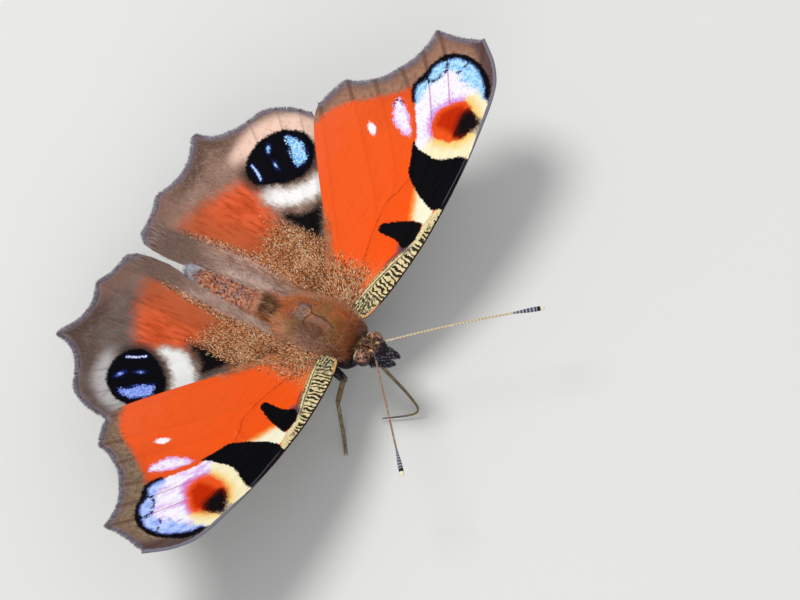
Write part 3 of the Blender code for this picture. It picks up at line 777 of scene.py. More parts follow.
FOREWING_COSTA = [(2.4, -0.2), (2.9, -0.55), (5.4, -1.25), (10.0, -1.88), (14.0, -2.02),
                  (17.0, -1.95), (20.0, -1.76), (24.0, -1.28), (26.0, -0.86), (27.2, -0.35),
                  (28.6, 0.7), (30.05, 2.4)]
FOREWING_TEETH = [(30.05, 2.4), (29.25, 6.9), (24.35, 8.4), (22.65, 10.05), (21.75, 12.15),
                  (18.6, 13.3)]
FOREWING_BAYS = [0.28, 0.5, 0.2, 0.2, -0.1]
FOREWING_INNER = [(18.6, 13.3), (16.6, 12.65), (12.3, 9.75), (8.2, 6.75), (5.4, 4.95),
                  (3.3, 4.4), (2.1, 4.2), (1.85, 2.8), (1.85, 1.4), (1.95, 0.4), (2.4, -0.2)]
HINDWING_FRONT = [(1.9, 4.2), (3.1, 4.3), (6.0, 4.6), (10.0, 6.3), (14.0, 9.3), (17.0, 12.3),
                  (18.15, 13.8)]
HINDWING_TEETH = [(18.15, 13.8), (17.8, 16.1), (16.4, 18.3), (13.2, 20.2), (12.2, 22.6),
                  (11.4, 22.75), (5.5, 22.75), (4.9, 22.75), (1.3, 22.2), (0.55, 21.3)]
HINDWING_BAYS = [-0.1, -0.15, 0.2, 0.3, -0.05, 0.95, 0.0, 0.25, -0.05]
HINDWING_BEHIND = [(0.55, 21.3), (0.33, 19.9), (0.3, 18.4), (0.35, 17.2), (0.75, 15.6),
                   (1.1, 14.0), (1.3, 12.0), (1.3, 10.0), (1.05, 8.0), (1.2, 6.6),
                   (1.6, 5.4), (1.8, 4.6), (1.9, 4.2)]

FOREWING_VEINS = [
    [(3.1, 0.3), (8.0, -0.85), (13.0, -1.5), (16.2, -1.75)],
    [(3.1, 0.9), (9.0, 0.0), (15.0, 0.1), (21.0, 0.2), (26.0, 0.9), (29.6, 2.3)],
    [(12.0, 0.0), (17.0, -0.6), (21.5, -1.15)],
    [(15.0, 0.3), (18.5, 0.9), (23.2, 2.3), (26.2, 4.1), (29.1, 6.6)],
    [(14.9, 1.0), (18.5, 1.7), (21.3, 3.1), (24.3, 5.0), (27.0, 7.1)],
    [(14.6, 2.0), (16.5, 2.6), (18.3, 3.35), (20.2, 4.4), (22.7, 6.1), (24.6, 8.0)],
    [(10.5, 2.95), (14.0, 3.1), (18.0, 5.6), (22.8, 9.8)],
    [(3.2, 1.2), (5.5, 1.85), (8.0, 2.55), (10.5, 2.95), (15.0, 6.2), (21.6, 11.9)],
    [(15.0, 0.3), (14.9, 1.0), (14.6, 2.0), (14.0, 3.1)],
    [(3.2, 2.8), (6.5, 4.5), (11.0, 7.8), (18.3, 12.9)],
]
HINDWING_VEINS = [
    [(3.4, 5.6), (7.0, 6.9), (12.0, 10.0), (17.7, 14.9)],
    [(7.0, 6.9), (11.0, 11.0), (17.2, 17.0)],
    [(8.3, 10.3), (10.6, 13.2), (15.0, 18.7)],
    [(3.3, 6.2), (5.6, 9.2), (8.0, 13.0), (10.3, 18.0), (11.9, 22.3)],
    [(6.6, 10.8), (7.9, 15.5), (8.4, 21.2)],
    [(4.9, 8.2), (5.3, 13.0), (5.3, 22.3)],
    [(3.1, 7.2), (3.2, 13.0), (2.6, 18.0), (2.8, 21.9)],
    [(8.3, 10.3), (8.0, 11.5), (7.6, 12.3)],
]


def plan_wing(kind, height, front, teeth, bays, behind, veins):
    """A wing seen flat: its points and triangles, its outer margin and its veins."""
    front = evenly(spline(front, 8), WING_SPACING)
    margin = evenly(scallops(teeth, bays), WING_SPACING)
    for _ in range(6):
        margin[1:-1] = (margin[:-2] + 2 * margin[1:-1] + margin[2:]) / 4
    behind = evenly(spline(behind, 8), WING_SPACING)
    ahead = unit(np.gradient(margin, axis=0))
    inward = np.stack([-ahead[:, 1], ahead[:, 0]], axis=1)
    share = np.linspace(0, 1, len(margin))
    ends = np.minimum(1.0, np.minimum(share, 1 - share) * 40)[:, None]
    inset = margin + inward * FRINGE * ends
    outline = np.vstack([front[:-1], inset[:-1], behind[:-1]])
    low, high = outline.min(axis=0), outline.max(axis=0)
    rows = np.arange(low[1], high[1], WING_SPACING * 0.87)
    grid = []
    for k, row in enumerate(rows):
        xs = np.arange(low[0] + (k % 2) * WING_SPACING / 2, high[0], WING_SPACING)
        grid.append(np.stack([xs, np.full(len(xs), row)], axis=1))
    grid = np.vstack(grid)
    grid = grid[depth(grid, outline) > 0.55 * WING_SPACING]
    everything = [Vector(p) for p in np.vstack([outline, grid])]
    edges = [(k, (k + 1) % len(outline)) for k in range(len(outline))]
    flat, _, faces, *_ = delaunay_2d_cdt(everything, edges, [], 1, 1e-5)
    flat = np.array(flat)
    faces = np.array([face for face in faces if len(face) == 3])
    paths = [spline(vein, 8) for vein in veins]
    vein_gap = np.min([nearest(flat, path)[0] for path in paths], axis=0)
    return {"kind": kind, "height": height, "flat": flat, "faces": faces, "margin": margin,
            "inset": inset, "inward": inward, "front": front, "vein": vein_gap, "veins": paths,
            "lines": veins}


def rim_edges(faces):
    """The directed edges that only one triangle has."""
    edges = np.vstack([faces[:, [0, 1]], faces[:, [1, 2]], faces[:, [2, 0]]])
    have = set(map(tuple, edges.tolist()))
    return np.array([edge for edge in have if (edge[1], edge[0]) not in have])


def wing_top(plan, points):
    """How high the upper face is at plan places: the arch, the veins and slack between them."""
    gap = np.min([nearest(points, path)[0] for path in plan["veins"]], axis=0)
    ridge = 0.085 * np.exp(-(gap / 0.16) ** 2)
    slack = WING_SLACK * smooth(gap, 0.1, 1.0)
    edge = nearest(points, plan["front"])[0]
    lead = 0.14 * np.exp(-(edge / 0.2) ** 2) * (1 - 0.6 * smooth(points[:, 0], 4.0, 26.0))
    return plan["height"](*points.T) + HALF_MEMBRANE + ridge - slack + lead


def build_membrane(plan, name, side, fields, materials):
    """The wing itself: its two faces from one plan, with the veins raised on both."""
    flat, faces = plan["flat"], plan["faces"]
    top = wing_top(plan, flat)
    middle = plan["height"](*flat.T)
    rim = rim_edges(faces)
    on_rim = np.zeros(len(flat), bool)
    on_rim[rim.ravel()] = True
    slack = WING_SLACK * smooth(plan["vein"], 0.1, 1.0)
    bottom = np.where(on_rim, middle - 0.5 * HALF_MEMBRANE, 2 * (middle - slack) - top)
    top = np.where(on_rim, np.maximum(middle, top - HALF_MEMBRANE), top)
    upper = np.column_stack([side * flat[:, 0], flat[:, 1], top])
    lower = np.column_stack([side * flat[:, 0], flat[:, 1], bottom])
    n = len(flat)
    walls = np.vstack([np.column_stack([rim[:, 1], rim[:, 0], rim[:, 0] + n]),
                       np.column_stack([rim[:, 1], rim[:, 0] + n, rim[:, 1] + n])])
    everything = np.vstack([faces, faces[:, ::-1] + n, walls])
    if side < 0:
        everything = everything[:, ::-1]
    doubled = {key: np.concatenate([values, values]) for key, values in fields.items()}
    doubled["plan"] = np.tile(level(flat), (2, 1))
    doubled["tone"] = np.full(2 * n, 0.5)
    doubled["reach"] = np.full(2 * n, 0.5)
    spread = plan_map(flat)
    node = plan["kind"] + "_" + name
    wing = make_mesh("membrane_" + node, np.vstack([upper, lower]), everything, doubled,
                     {"OFBake": np.vstack([spread, spread + (0.0, 0.5)])})
    underside = np.zeros(len(everything), np.int32)
    underside[len(faces):] = 1
    finished(wing, plan["kind"] + "_scales", materials, (node,))
    wing.data.polygons.foreach_set("material_index", underside)


def level(places):
    """Places or ways on a wing's plan as vectors."""
    return np.column_stack([places, np.zeros(len(places))])


def plan_map(flat):
    """A wing's flat plan laid in the lower half of the bake's map."""
    return np.column_stack([0.01 + flat[:, 0] / 31.0, 0.03 + (flat[:, 1] + 2.0) / 56.0])


def build_fringe(plan, name, side, material, rng):
    """Overlapping fine scales that stand out past the outer margin."""
    inset, inward = plan["inset"], plan["inward"]
    count = len(inset) * FRINGE_SCALES
    at = rng.uniform(0, len(inset) - 1, count)
    index = np.arange(len(inset))
    root = np.column_stack([np.interp(at, index, inset[:, k]) for k in (0, 1)])
    back = np.column_stack([np.interp(at, index, inward[:, k]) for k in (0, 1)])
    root = root + back * rng.uniform(0.0, 0.2, count)[:, None]
    z = plan["height"](*root.T) + rng.uniform(-0.02, 0.05, count)
    along = level(-back) + 0.12 * rng.normal(size=(count, 3)) * (1, 1, 0.3)
    ends = np.minimum(at, len(inset) - 1 - at)
    length = rng.uniform(0.3, 0.48, count) * (0.35 + 0.65 * smooth(ends, 0, 5))
    made = grow(plan["kind"] + "_fringe_" + name, mirrored(np.column_stack([root, z]), side),
                mirrored(along, side), np.tile([0.0, 0.0, 1.0], (count, 1)), length, 0.045, rng,
                lift=0.02, flat=0.2, widest=0.6,
                fields={"plan": level(root), "vein": line_gap(root, plan["lines"])},
                unwrapped=plan_map(root))
    finished(made, plan["kind"] + "_scales", [material])


# Markings of the forewing, as loops of corners on its plan.
WEDGE = [(9.45, -0.35), (9.9, -0.75), (10.4, -0.98), (11.2, -1.0), (12.15, -0.9), (12.1, -0.3),
         (11.95, 0.3), (11.7, 0.9), (11.35, 1.6), (11.0, 2.15), (10.75, 2.5), (10.3, 2.52),
         (10.0, 2.4), (9.98, 1.8), (9.95, 1.0), (9.75, 0.3)]
BAR = [(14.1, -2.6), (16.5, -2.8), (20.4, -2.6), (19.8, -1.6), (19.4, -0.9), (18.8, -0.05),
       (18.4, 0.9), (18.3, 1.9), (18.45, 2.8), (18.75, 3.5), (18.2, 3.38), (17.0, 2.95),
       (16.0, 2.6), (15.4, 2.05), (14.8, 1.3), (14.3, 0.55), (13.95, -0.2), (13.7, -0.8),
       (13.65, -1.3), (13.95, -1.7)]
CREAM = [(12.15, -1.1), (13.9, -1.2), (14.1, -0.5), (14.5, 0.3), (15.0, 1.1), (15.5, 1.8),
         (13.6, 1.7), (11.4, 1.4), (11.85, 0.5), (12.05, -0.3)]
FIELD = [(18.5, 3.15), (18.15, 2.0), (18.0, 1.0), (18.3, 0.2), (18.75, -0.5), (19.1, -1.1),
         (19.5, -2.0), (22.0, -2.0), (24.0, -1.3), (25.1, -0.3), (25.7, 0.0), (26.4, 0.6),
         (27.0, 1.35), (27.45, 2.2), (27.5, 3.2), (27.4, 3.9), (26.75, 4.6), (26.4, 5.05),
         (25.7, 5.35), (24.9, 5.35), (24.3, 5.45), (23.9, 5.75), (23.4, 5.85),
         (22.8, 5.65), (22.2, 5.3), (21.3, 4.75), (20.2, 4.05), (19.2, 3.5)]
OCELLUS = [(22.0, 5.2), (22.6, 5.85), (23.4, 6.2), (24.3, 6.05), (25.0, 5.75), (26.0, 5.6),
           (27.0, 5.1), (27.7, 4.3), (27.97, 3.2), (27.87, 2.1), (27.4, 1.0), (26.7, 0.1),
           (25.9, -0.42), (24.9, -0.6), (24.6, 1.0), (23.5, 3.5)]
RED = [(20.45, -0.2), (19.95, 0.5), (19.7, 1.4), (19.85, 2.1), (20.4, 2.65), (21.3, 2.95),
       (22.2, 2.9), (22.9, 2.4), (23.5, 1.9), (23.95, 1.3), (23.8, 0.6), (23.3, -0.1),
       (22.6, -0.7), (21.3, -0.6)]
PUPIL = [(20.85, 0.15), (21.2, -0.2), (21.65, -0.6), (22.05, -0.88), (22.6, -0.9),
         (22.95, -0.5), (23.08, 0.0), (23.0, 0.4), (22.5, 0.55), (21.7, 0.45), (21.15, 0.35)]
BLUE_ZONE = [(24.9, -0.5), (25.3, 0.4), (25.45, 1.2), (25.7, 2.2), (26.1, 2.9), (26.1, 3.8),
             (25.3, 4.3), (24.4, 4.65), (23.7, 4.85), (22.9, 4.95), (22.1, 5.1), (22.3, 6.2),
             (24.0, 6.6), (28.3, 5.6), (28.6, 2.0), (26.5, -0.8)]
LILAC_SPOT = [(19.1, 4.2), (19.5, 4.2), (20.2, 4.75), (21.0, 5.45), (21.65, 6.15),
              (21.9, 6.75), (21.5, 6.95), (20.9, 6.75), (20.1, 6.35), (19.5, 5.7), (19.15, 5.0)]
NOTCHES = [[(28.2, 2.62), (27.3, 2.68), (26.95, 2.75)],
           [(26.35, 2.95), (26.2, 3.1)],
           [(27.3, 4.85), (26.6, 4.4), (26.1, 4.1), (25.75, 4.15)],
           [(24.9, 5.6), (24.45, 5.15), (24.35, 4.9), (24.8, 4.55), (25.3, 4.35)]]
THREADS = [[(19.8, 2.3), (21.3, 3.1), (24.3, 5.0)], [(22.8, 2.1), (23.3, 2.35), (26.2, 4.1)]]
BLOBS = [(25.1, 2.2), (23.9, 3.9), (21.7, 4.4), (20.0, 5.8)]
CELL_VEIN = [(4.4, 1.65), (7.0, 2.3), (10.1, 2.85), (12.6, 3.0), (14.0, 2.55), (15.5, 2.15)]
FOREWING_BORDER = [(16.2, 12.9), (17.0, 12.4), (17.9, 12.2), (18.8, 11.75), (19.6, 11.0),
                   (20.3, 10.0), (20.85, 9.1), (21.4, 8.3), (22.2, 7.3), (22.9, 6.5),
                   (23.6, 5.8), (24.4, 4.0), (24.7, 0.0), (24.4, -1.2), (24.5, -4.0),
                   (36.0, -4.0), (36.0, 18.0), (16.0, 18.0)]
BAND = [(1.6, -1.2), (5.0, -2.1), (9.0, -2.8), (14.7, -3.0), (13.9, -1.35), (12.3, -1.0),
        (10.8, -0.92), (10.0, -0.66), (9.0, -0.3), (8.0, 0.06), (7.0, 0.35), (6.0, 0.65),
        (5.0, 0.95), (4.0, 1.16), (3.2, 1.3), (1.0, 1.5), (-2.0, 1.6), (-2.0, -1.2)]


def line_gap(points, lines):
    """How far each point is from the nearest of several smooth lines."""
    return np.min([nearest(points, spline(line, 8))[0] for line in lines], axis=0)


def forewing_fields(plan):
    """How deep each point lies in each marking, or how far it is from each line."""
    p = plan["flat"]
    lead, along = nearest(p, spline(FOREWING_COSTA, 12))
    return {
        "wedge": patch(p, WEDGE),
        "bar": patch(p, BAR),
        "cream": patch(p, CREAM),
        "field": patch(p, FIELD),
        "ocellus": patch(p, OCELLUS),
        "spot": patch(p, LILAC_SPOT),
        "dot": oval(p, (18.4, 7.62), (0.60, 0.32), 48),
        "red": patch(p, RED),
        "pupil": patch(p, PUPIL),
        "bluezone": patch(p, BLUE_ZONE),
        "notch": line_gap(p, NOTCHES),
        "thread": line_gap(p, THREADS),
        "blob": np.max([oval(p, spot, (0.75, 0.4), 30) for spot in BLOBS], axis=0),
        "border": depth(p, np.asarray(FOREWING_BORDER)),
        "band": depth(p, np.asarray(BAND)),
        "lead": lead,
        "along": along,
        "rim": nearest(p, plan["margin"])[0],
        "vein": line_gap(p, FOREWING_VEINS),
        "cell": line_gap(p, [CELL_VEIN]),
    }


def forewing_finish(side):
    """The upper side of a forewing. The two sides catch the light apart, so they differ."""
    blue, pale_blue, lilac, lilac_share, border_1, border_2 = {
        "left": ("#78B9F0", "#BDEBFA", "#E3BDF3", 0.15, "#A97F69", "#8A6450"),
        "right": ("#8FA8F4", "#BED2FD", "#E2B8F2", 0.7, "#907A62", "#6C5646")}[side]
    f = Finish("forewing " + side, 0.6, 0.03)
    plan = f.spot("plan")
    x, y = f.parts(plan)[:2]
    one, two, three, middle = f.cells(f.scaled(plan, (0.75, 1.15, 1.0)), SCALE)
    broad = f.noise(plan, 0.45, 3.0)
    wobble = f.noise(plan, 2.2, 3.0)
    fine = f.noise(plan, 7.0, 2.0)
    streak = f.noise(f.scaled(plan, (0.5, 3.2, 1.0)), 1.0, 3.0)
    along_veins = f.value("CombineXYZ", {}, {0: x * 0.46 + y * 0.19, 1: x * -0.76 + y * 1.84})
    brushed = f.noise(along_veins, 1.3, 3.0) * 1.9 + 0.5
    grain, soft = (two, 0.0) if side == "left" else (brushed, 0.3)

    jag = f.jagged(one, wobble)

    # Orange ground, redder at the front, duller near the margin and along its veins
    f.colour = f.mix((y + broad * 6.0).step(7.0, -1.0), "#F25B20", "#FA5511")
    f.paint((x + broad * 8.0).step(18.0, 23.5), "#E0521F")
    f.paint((y + broad * 5.0).step(8.0, 12.0), "#F05F30")
    f.paint(streak.step(0.0, 0.35) * 0.6, "#DD4E1B")
    f.paint(fine.step(0.08, 0.3) * 0.35, "#FF8A55")
    line = f.field("vein").step(0.12, 0.02) * 0.05
    line = line.most(f.field("cell").step(0.1, 0.02) * 0.7)
    f.paint(line, "#9A3618")
    # Brown border, mottled, with a darker edge
    border = f.mix((wobble * 1.2 + (one - 0.5) * 0.3).step(-0.25, 0.35), border_1, border_2)
    border = f.mix((f.field("rim") + wobble * 0.8).step(1.3, 0.5) * 0.7, border, "#755A50")
    edge_share = (f.field("rim") + wobble * 0.4).step(0.75, 0.35) * 0.7
    border = f.mix(edge_share, border, "#857B82")
    near_tip = (f.field("lead") + wobble * 0.5).step(1.7, 0.8)
    border = f.mix(near_tip * 0.8, border, "#4C3A40")
    border = f.mix((f.field("vein") + wobble * 0.3).step(0.3, 0.05) * 0.55, border, "#55392F")
    f.paint(jag("border", 0.3, 0.7).step(-0.3, 0.35), border)
    # Cream patch that runs out through yellow into the orange
    low = y + (x - 13.0) * -0.35
    cream = f.mix((low + wobble * 0.4).step(-0.1, 0.75), "#FCF5D6", "#F5A243")
    share = jag("cream", 0.1).step(-0.05, 0.12) * (low + wobble * 0.4).step(1.05, 0.4)
    f.paint(share, cream)
    # Rusty, dusky root with streaks that run out along the wing
    reach = x + y * 0.2 + broad * 3.0
    root = (reach + streak * 3.0).step(8.6, 5.6)
    dusk = f.mix(fine.step(-0.12, 0.15), "#B05A2A", "#EEA468")
    dusk = f.mix(reach.step(5.4, 3.4), dusk, f.mix(fine.step(-0.1, 0.1), "#6E5242", "#BFA290"))
    f.paint(root * (0.6 + reach.step(5.2, 3.6) * 0.25), dusk)
    # Costal band: cream with wavy black bars, a fine cream line and a speckled edge below them
    inward = f.field("band") + f.noise(plan, 4.0, 2.0) * 0.12
    phase = f.field("along") * 2.15 + f.field("lead") * -0.25 + f.noise(plan, 1.7, 2.0) * 1.9
    bars = (f.wave(phase) + f.noise(plan, 3.6, 2.0) * 1.6).step(-0.2, 0.2)
    blotch = f.noise(f.scaled(plan, (1.5, 1.0, 1.0)), 2.4, 2.0).step(0.02, 0.08)
    bars = f.mix(x.step(11.6, 12.6), bars, blotch)
    bars = bars * inward.step(0.4, 0.5)
    net = f.noise(f.scaled(plan, (1.0, 2.4, 1.0)), 3.0, 1.0).step(0.0, 0.06)
    bars = f.mix((x + wobble * 2.0).step(3.6, 5.2), net.most(bars * 0.7), bars)
    band = f.mix((two + fine).step(0.1, 0.9), "#D6BE86", "#F2E4B6")
    band = f.mix(x.step(4.8, 3.4), band, "#D8CC9C")
    speckle = f.mix((one + fine).step(0.35, 0.6), "#5B4C36", "#BCAA78")
    band = f.mix(inward.step(0.2, 0.14) * x.step(10.6, 9.8), band, speckle)
    bars = bars.most(abs(inward - 0.36).step(0.06, 0.02) * x.step(10.4, 9.6))
    band = f.mix(bars * 0.96, band, "#0D0A0A")
    f.paint(jag("band", 0.1, 0.1).step(-0.03, 0.06), band)
    below = abs(f.field("band") + 0.1).step(0.2, 0.04) * (x.step(12.0, 9.5) * x.step(6.8, 7.8))
    f.paint(below * 0.7, "#5E4248")
    # Black wedge, grey towards the root, and black bar
    grey = f.field("wedge").step(-0.8, -0.1) * y.step(0.5, -0.1)
    f.paint(grey * x.step(10.2, 9.4) * 0.8, "#4B4550")
    f.paint(jag("wedge", 0.12, 0.12).step(-0.06, 0.06), "#09080B")
    f.paint(jag("bar", 0.12, 0.1).step(-0.06, 0.06), "#09080C")
    # Ocellus: black rim, then cream arc, lilac and white, and blue outward
    f.paint(jag("ocellus", 0.14, 0.15).step(-0.12, 0.1), "#0B090F")
    inside = jag("field", 0.16, 0.2)
    gap = f.field("red")
    arc = f.mix((gap + wobble * 0.4).step(-1.1, -0.1), "#FBF0C4", "#F9D27A")
    whitish = f.mix((wobble * 0.8 + grain).step(0.85 - 0.8 * lilac_share, 1.15 - 0.4 * lilac_share),
                    "#FAF6FC", lilac)
    near_red = gap + (grain - 0.5) * 0.5 + wobble * 0.4
    whitish = f.mix(near_red.step(-0.75, -0.15), whitish, "#D99CE6")
    blobs = (f.field("blob") + wobble * 0.2).step(-0.4, 0.25)
    whitish = f.mix(blobs * lilac_share, whitish, "#FEFBFF")
    side_way = x * 0.3 + y + wobble * 0.5
    inner_field = f.mix(side_way.step(7.6, 8.6), arc, whitish)
    right_cream = (x + y * -0.3).step(24.6, 24.2) * y.step(1.5, 0.9)
    inner_field = f.mix(right_cream * x.step(22.0, 22.6), inner_field, arc)
    bluish = f.mix((grain * 0.6 + wobble).step(0.1, 0.6), pale_blue, blue)
    ragged = f.field("bluezone") + (wobble * 0.7 + (one - 0.5) * 0.5)
    inner_field = f.mix(ragged.step(-0.3, 0.25), inner_field, bluish)
    dark_blue = (inside + fine * 0.2).step(0.26, 0.04) * f.field("bluezone").step(-0.2, 0.1)
    inner_field = f.mix(dark_blue * 0.8, inner_field, "#27348C")
    magenta = (f.field("thread") + wobble * 0.1).step(0.11, 0.03) * gap.step(0.0, -0.1)
    inner_field = f.mix(magenta * 0.75, inner_field, "#B25A9A")
    dark = f.field("notch") + (wobble * 0.3 + (one - 0.5) * 0.25)
    inner_field = f.mix(dark.step(0.22, 0.04), inner_field,
                        f.mix(inside.step(0.9, 0.4), "#4B2266", "#0E0B16"))
    f.paint(inside.step(-0.08, 0.08), inner_field)
    red = gap + (wobble * 0.3 + (one - 0.5) * 0.16)
    deep_red = (gap + wobble * 0.6).step(0.08, 0.7) * x.step(20.3, 21.2)
    hot = f.mix(deep_red, "#F0561C", "#C42B04")
    hot = f.mix((f.field("pupil") + streak * 0.6).step(-0.75, -0.15), hot, "#6B1204")
    red = red + (grain - 0.5) * (0.8 * soft)
    f.paint(red.step(-0.16 - soft, 0.14 + 0.5 * soft), hot)
    pupil = f.field("pupil") + (streak * 0.5 + (one - 0.5) * 0.3)
    veil = abs(x - 22.3).step(1.0, 0.6) * (y + wobble).step(-0.55, -0.9)
    f.paint(veil * 0.75, f.mix(fine.step(-0.1, 0.1), "#6E6468", "#C9BCA4"))
    f.paint(pupil.step(-0.4, 0.15), "#120B0D")
    # Lilac spot and white dot
    spot = f.mix((1.0 - f.field("spot") + one + wobble).step(1.0, 1.6), "#FBF6FC", lilac)
    f.paint(jag("spot", 0.4, 0.3).step(-0.15, 0.1), spot)
    tip_dark = (three + wobble).step(0.62, 0.72) * (x + y).step(27.2, 28.2)
    tip_dark = tip_dark * abs(f.field("spot") - 0.05).step(0.3, 0.1)
    f.paint(tip_dark * (1.0 if side == "left" else 0.0), "#4A2A5A")
    f.paint(jag("dot", 0.12, 0.1).step(-0.1, 0.08), "#FCF6FA")
    # Line along the front edge: rusty, dark, then a broad lilac-grey one
    edge = f.mix(x.step(8.0, 12.0), "#451E14", f.mix(x.step(17.0, 21.5), "#2A1A18", "#7C7884"))
    edge = f.mix(x.step(3.6, 4.4), "#E0A468", edge)
    width = 0.1 + x.step(4.6, 3.4) * 0.1 + x.step(19.5, 23.5) * 0.22
    front_line = (f.field("lead") + wobble * 0.15 - width).step(0.04, -0.03)
    f.paint(front_line, edge)
    second = abs(f.field("lead") - 0.3).step(0.08, 0.02) * x.step(14.0, 15.0)
    f.paint(second * x.step(20.0, 18.5) * 0.6, "#5C5A66")
    relief = -middle + f.noise(plan, 14.0, 2.0) * 0.6
    return f.done(relief, 0.035, 0.5)


def underside_finish():
    """The dark underside: black-brown with fine wavy lines and paler towards the margin."""
    f = Finish("wing underside", 0.7, 0.12, 0.03)
    plan = f.spot("plan")
    x, y = f.parts(plan)[:2]
    one, two, _, middle = f.cells(plan, SCALE)
    wobble = f.noise(plan, 0.8, 4.0)
    way = x * 0.9 + y * 0.45
    lines = f.wave(way * 1.3 + wobble * 5.0)
    f.colour = f.mix((lines + two * 0.8).step(0.2, 1.2), "#1B1513", "#3A2E28")
    band = abs(way + wobble * 5.0 - 15.0).step(2.6, 1.8)
    f.paint(band * 0.6, "#0E0B0C")
    f.paint(f.field("rim").step(2.0, 0.4), "#4A4040")
    f.paint(one.step(0.85, 0.95) * 0.5, "#7A6A5A")
    return f.done(-middle, 0.035, 0.5)


# Markings of the hindwing, as loops of corners on its plan.
HIND_EYE = [(13.6, 11.35), (14.7, 11.65), (15.6, 12.3), (16.1, 13.3), (16.0, 14.4),
            (15.6, 15.3), (14.8, 16.2), (13.8, 16.75), (12.8, 16.95), (12.0, 17.0),
            (11.0, 16.7), (10.2, 16.0), (9.95, 15.1), (10.3, 14.1), (10.9, 13.1),
            (11.8, 12.1), (12.6, 11.55)]
HIND_BLUE = [(12.95, 12.45), (13.4, 12.25), (13.95, 12.05), (14.45, 12.3), (14.85, 12.75),
             (15.2, 13.3), (15.3, 14.1), (15.1, 14.8), (14.75, 14.6), (14.3, 14.05),
             (13.85, 13.65), (13.4, 13.1)]
HIND_STREAK = [(10.5, 14.85), (11.0, 15.5), (11.4, 16.25)]
HIND_RUST = [(4.0, 7.5), (6.2, 9.0), (7.2, 10.3), (7.7, 11.6), (8.4, 13.0), (9.0, 14.2),
             (9.55, 15.4), (9.5, 16.2), (8.6, 16.9), (7.6, 17.6), (6.6, 18.2), (5.2, 18.7),
             (3.6, 19.2), (2.2, 18.9), (2.0, 17.5), (2.6, 14.0), (3.2, 10.0)]
HIND_DARK = [(8.0, 7.6), (9.2, 7.9), (10.6, 8.8), (10.0, 9.2), (9.3, 9.7), (8.9, 10.4),
             (8.5, 11.3), (8.2, 10.6), (8.0, 9.0)]
CRESCENT = [(13.6, 9.4), (12.4, 9.9), (11.3, 10.5), (10.3, 11.5), (9.75, 12.6), (9.6, 13.8)]


# Where the fold beside the body lies on each wing, and where the dust of its root ends.
FOLD_X = {1: 3.75, -1: 2.85}
DUST_END_X = {1: 7.2, -1: 6.3}


def hindwing_fields(plan, side):
    """The same for a hindwing. The right one's markings lie a little closer in than the left's."""
    p = plan["flat"]
    moved, closer, darker = (p, p, p) if side > 0 else (p + (0.25, 0.35), p + (0.7, 0.1), p + (1.2, -0.5))
    return {
        "eye": patch(moved, HIND_EYE),
        "blue": patch(moved, HIND_BLUE),
        "dot": np.maximum(oval(moved, (12.3, 14.3), (0.36, 0.15), 58),
                          oval(moved, (13.4, 15.7), (0.40, 0.19), 28)),
        "streak": line_gap(moved, [HIND_STREAK]),
        "rust": patch(moved, HIND_RUST),
        "dark": patch(darker, HIND_DARK),
        "crescent": line_gap(closer, [CRESCENT]),
        "fold": p[:, 0] - FOLD_X[side] + 0.1 * np.maximum(0.0, p[:, 1] - 12.0),
        "rim": nearest(p, plan["margin"])[0],
        "vein": line_gap(p, HINDWING_VEINS),
    }


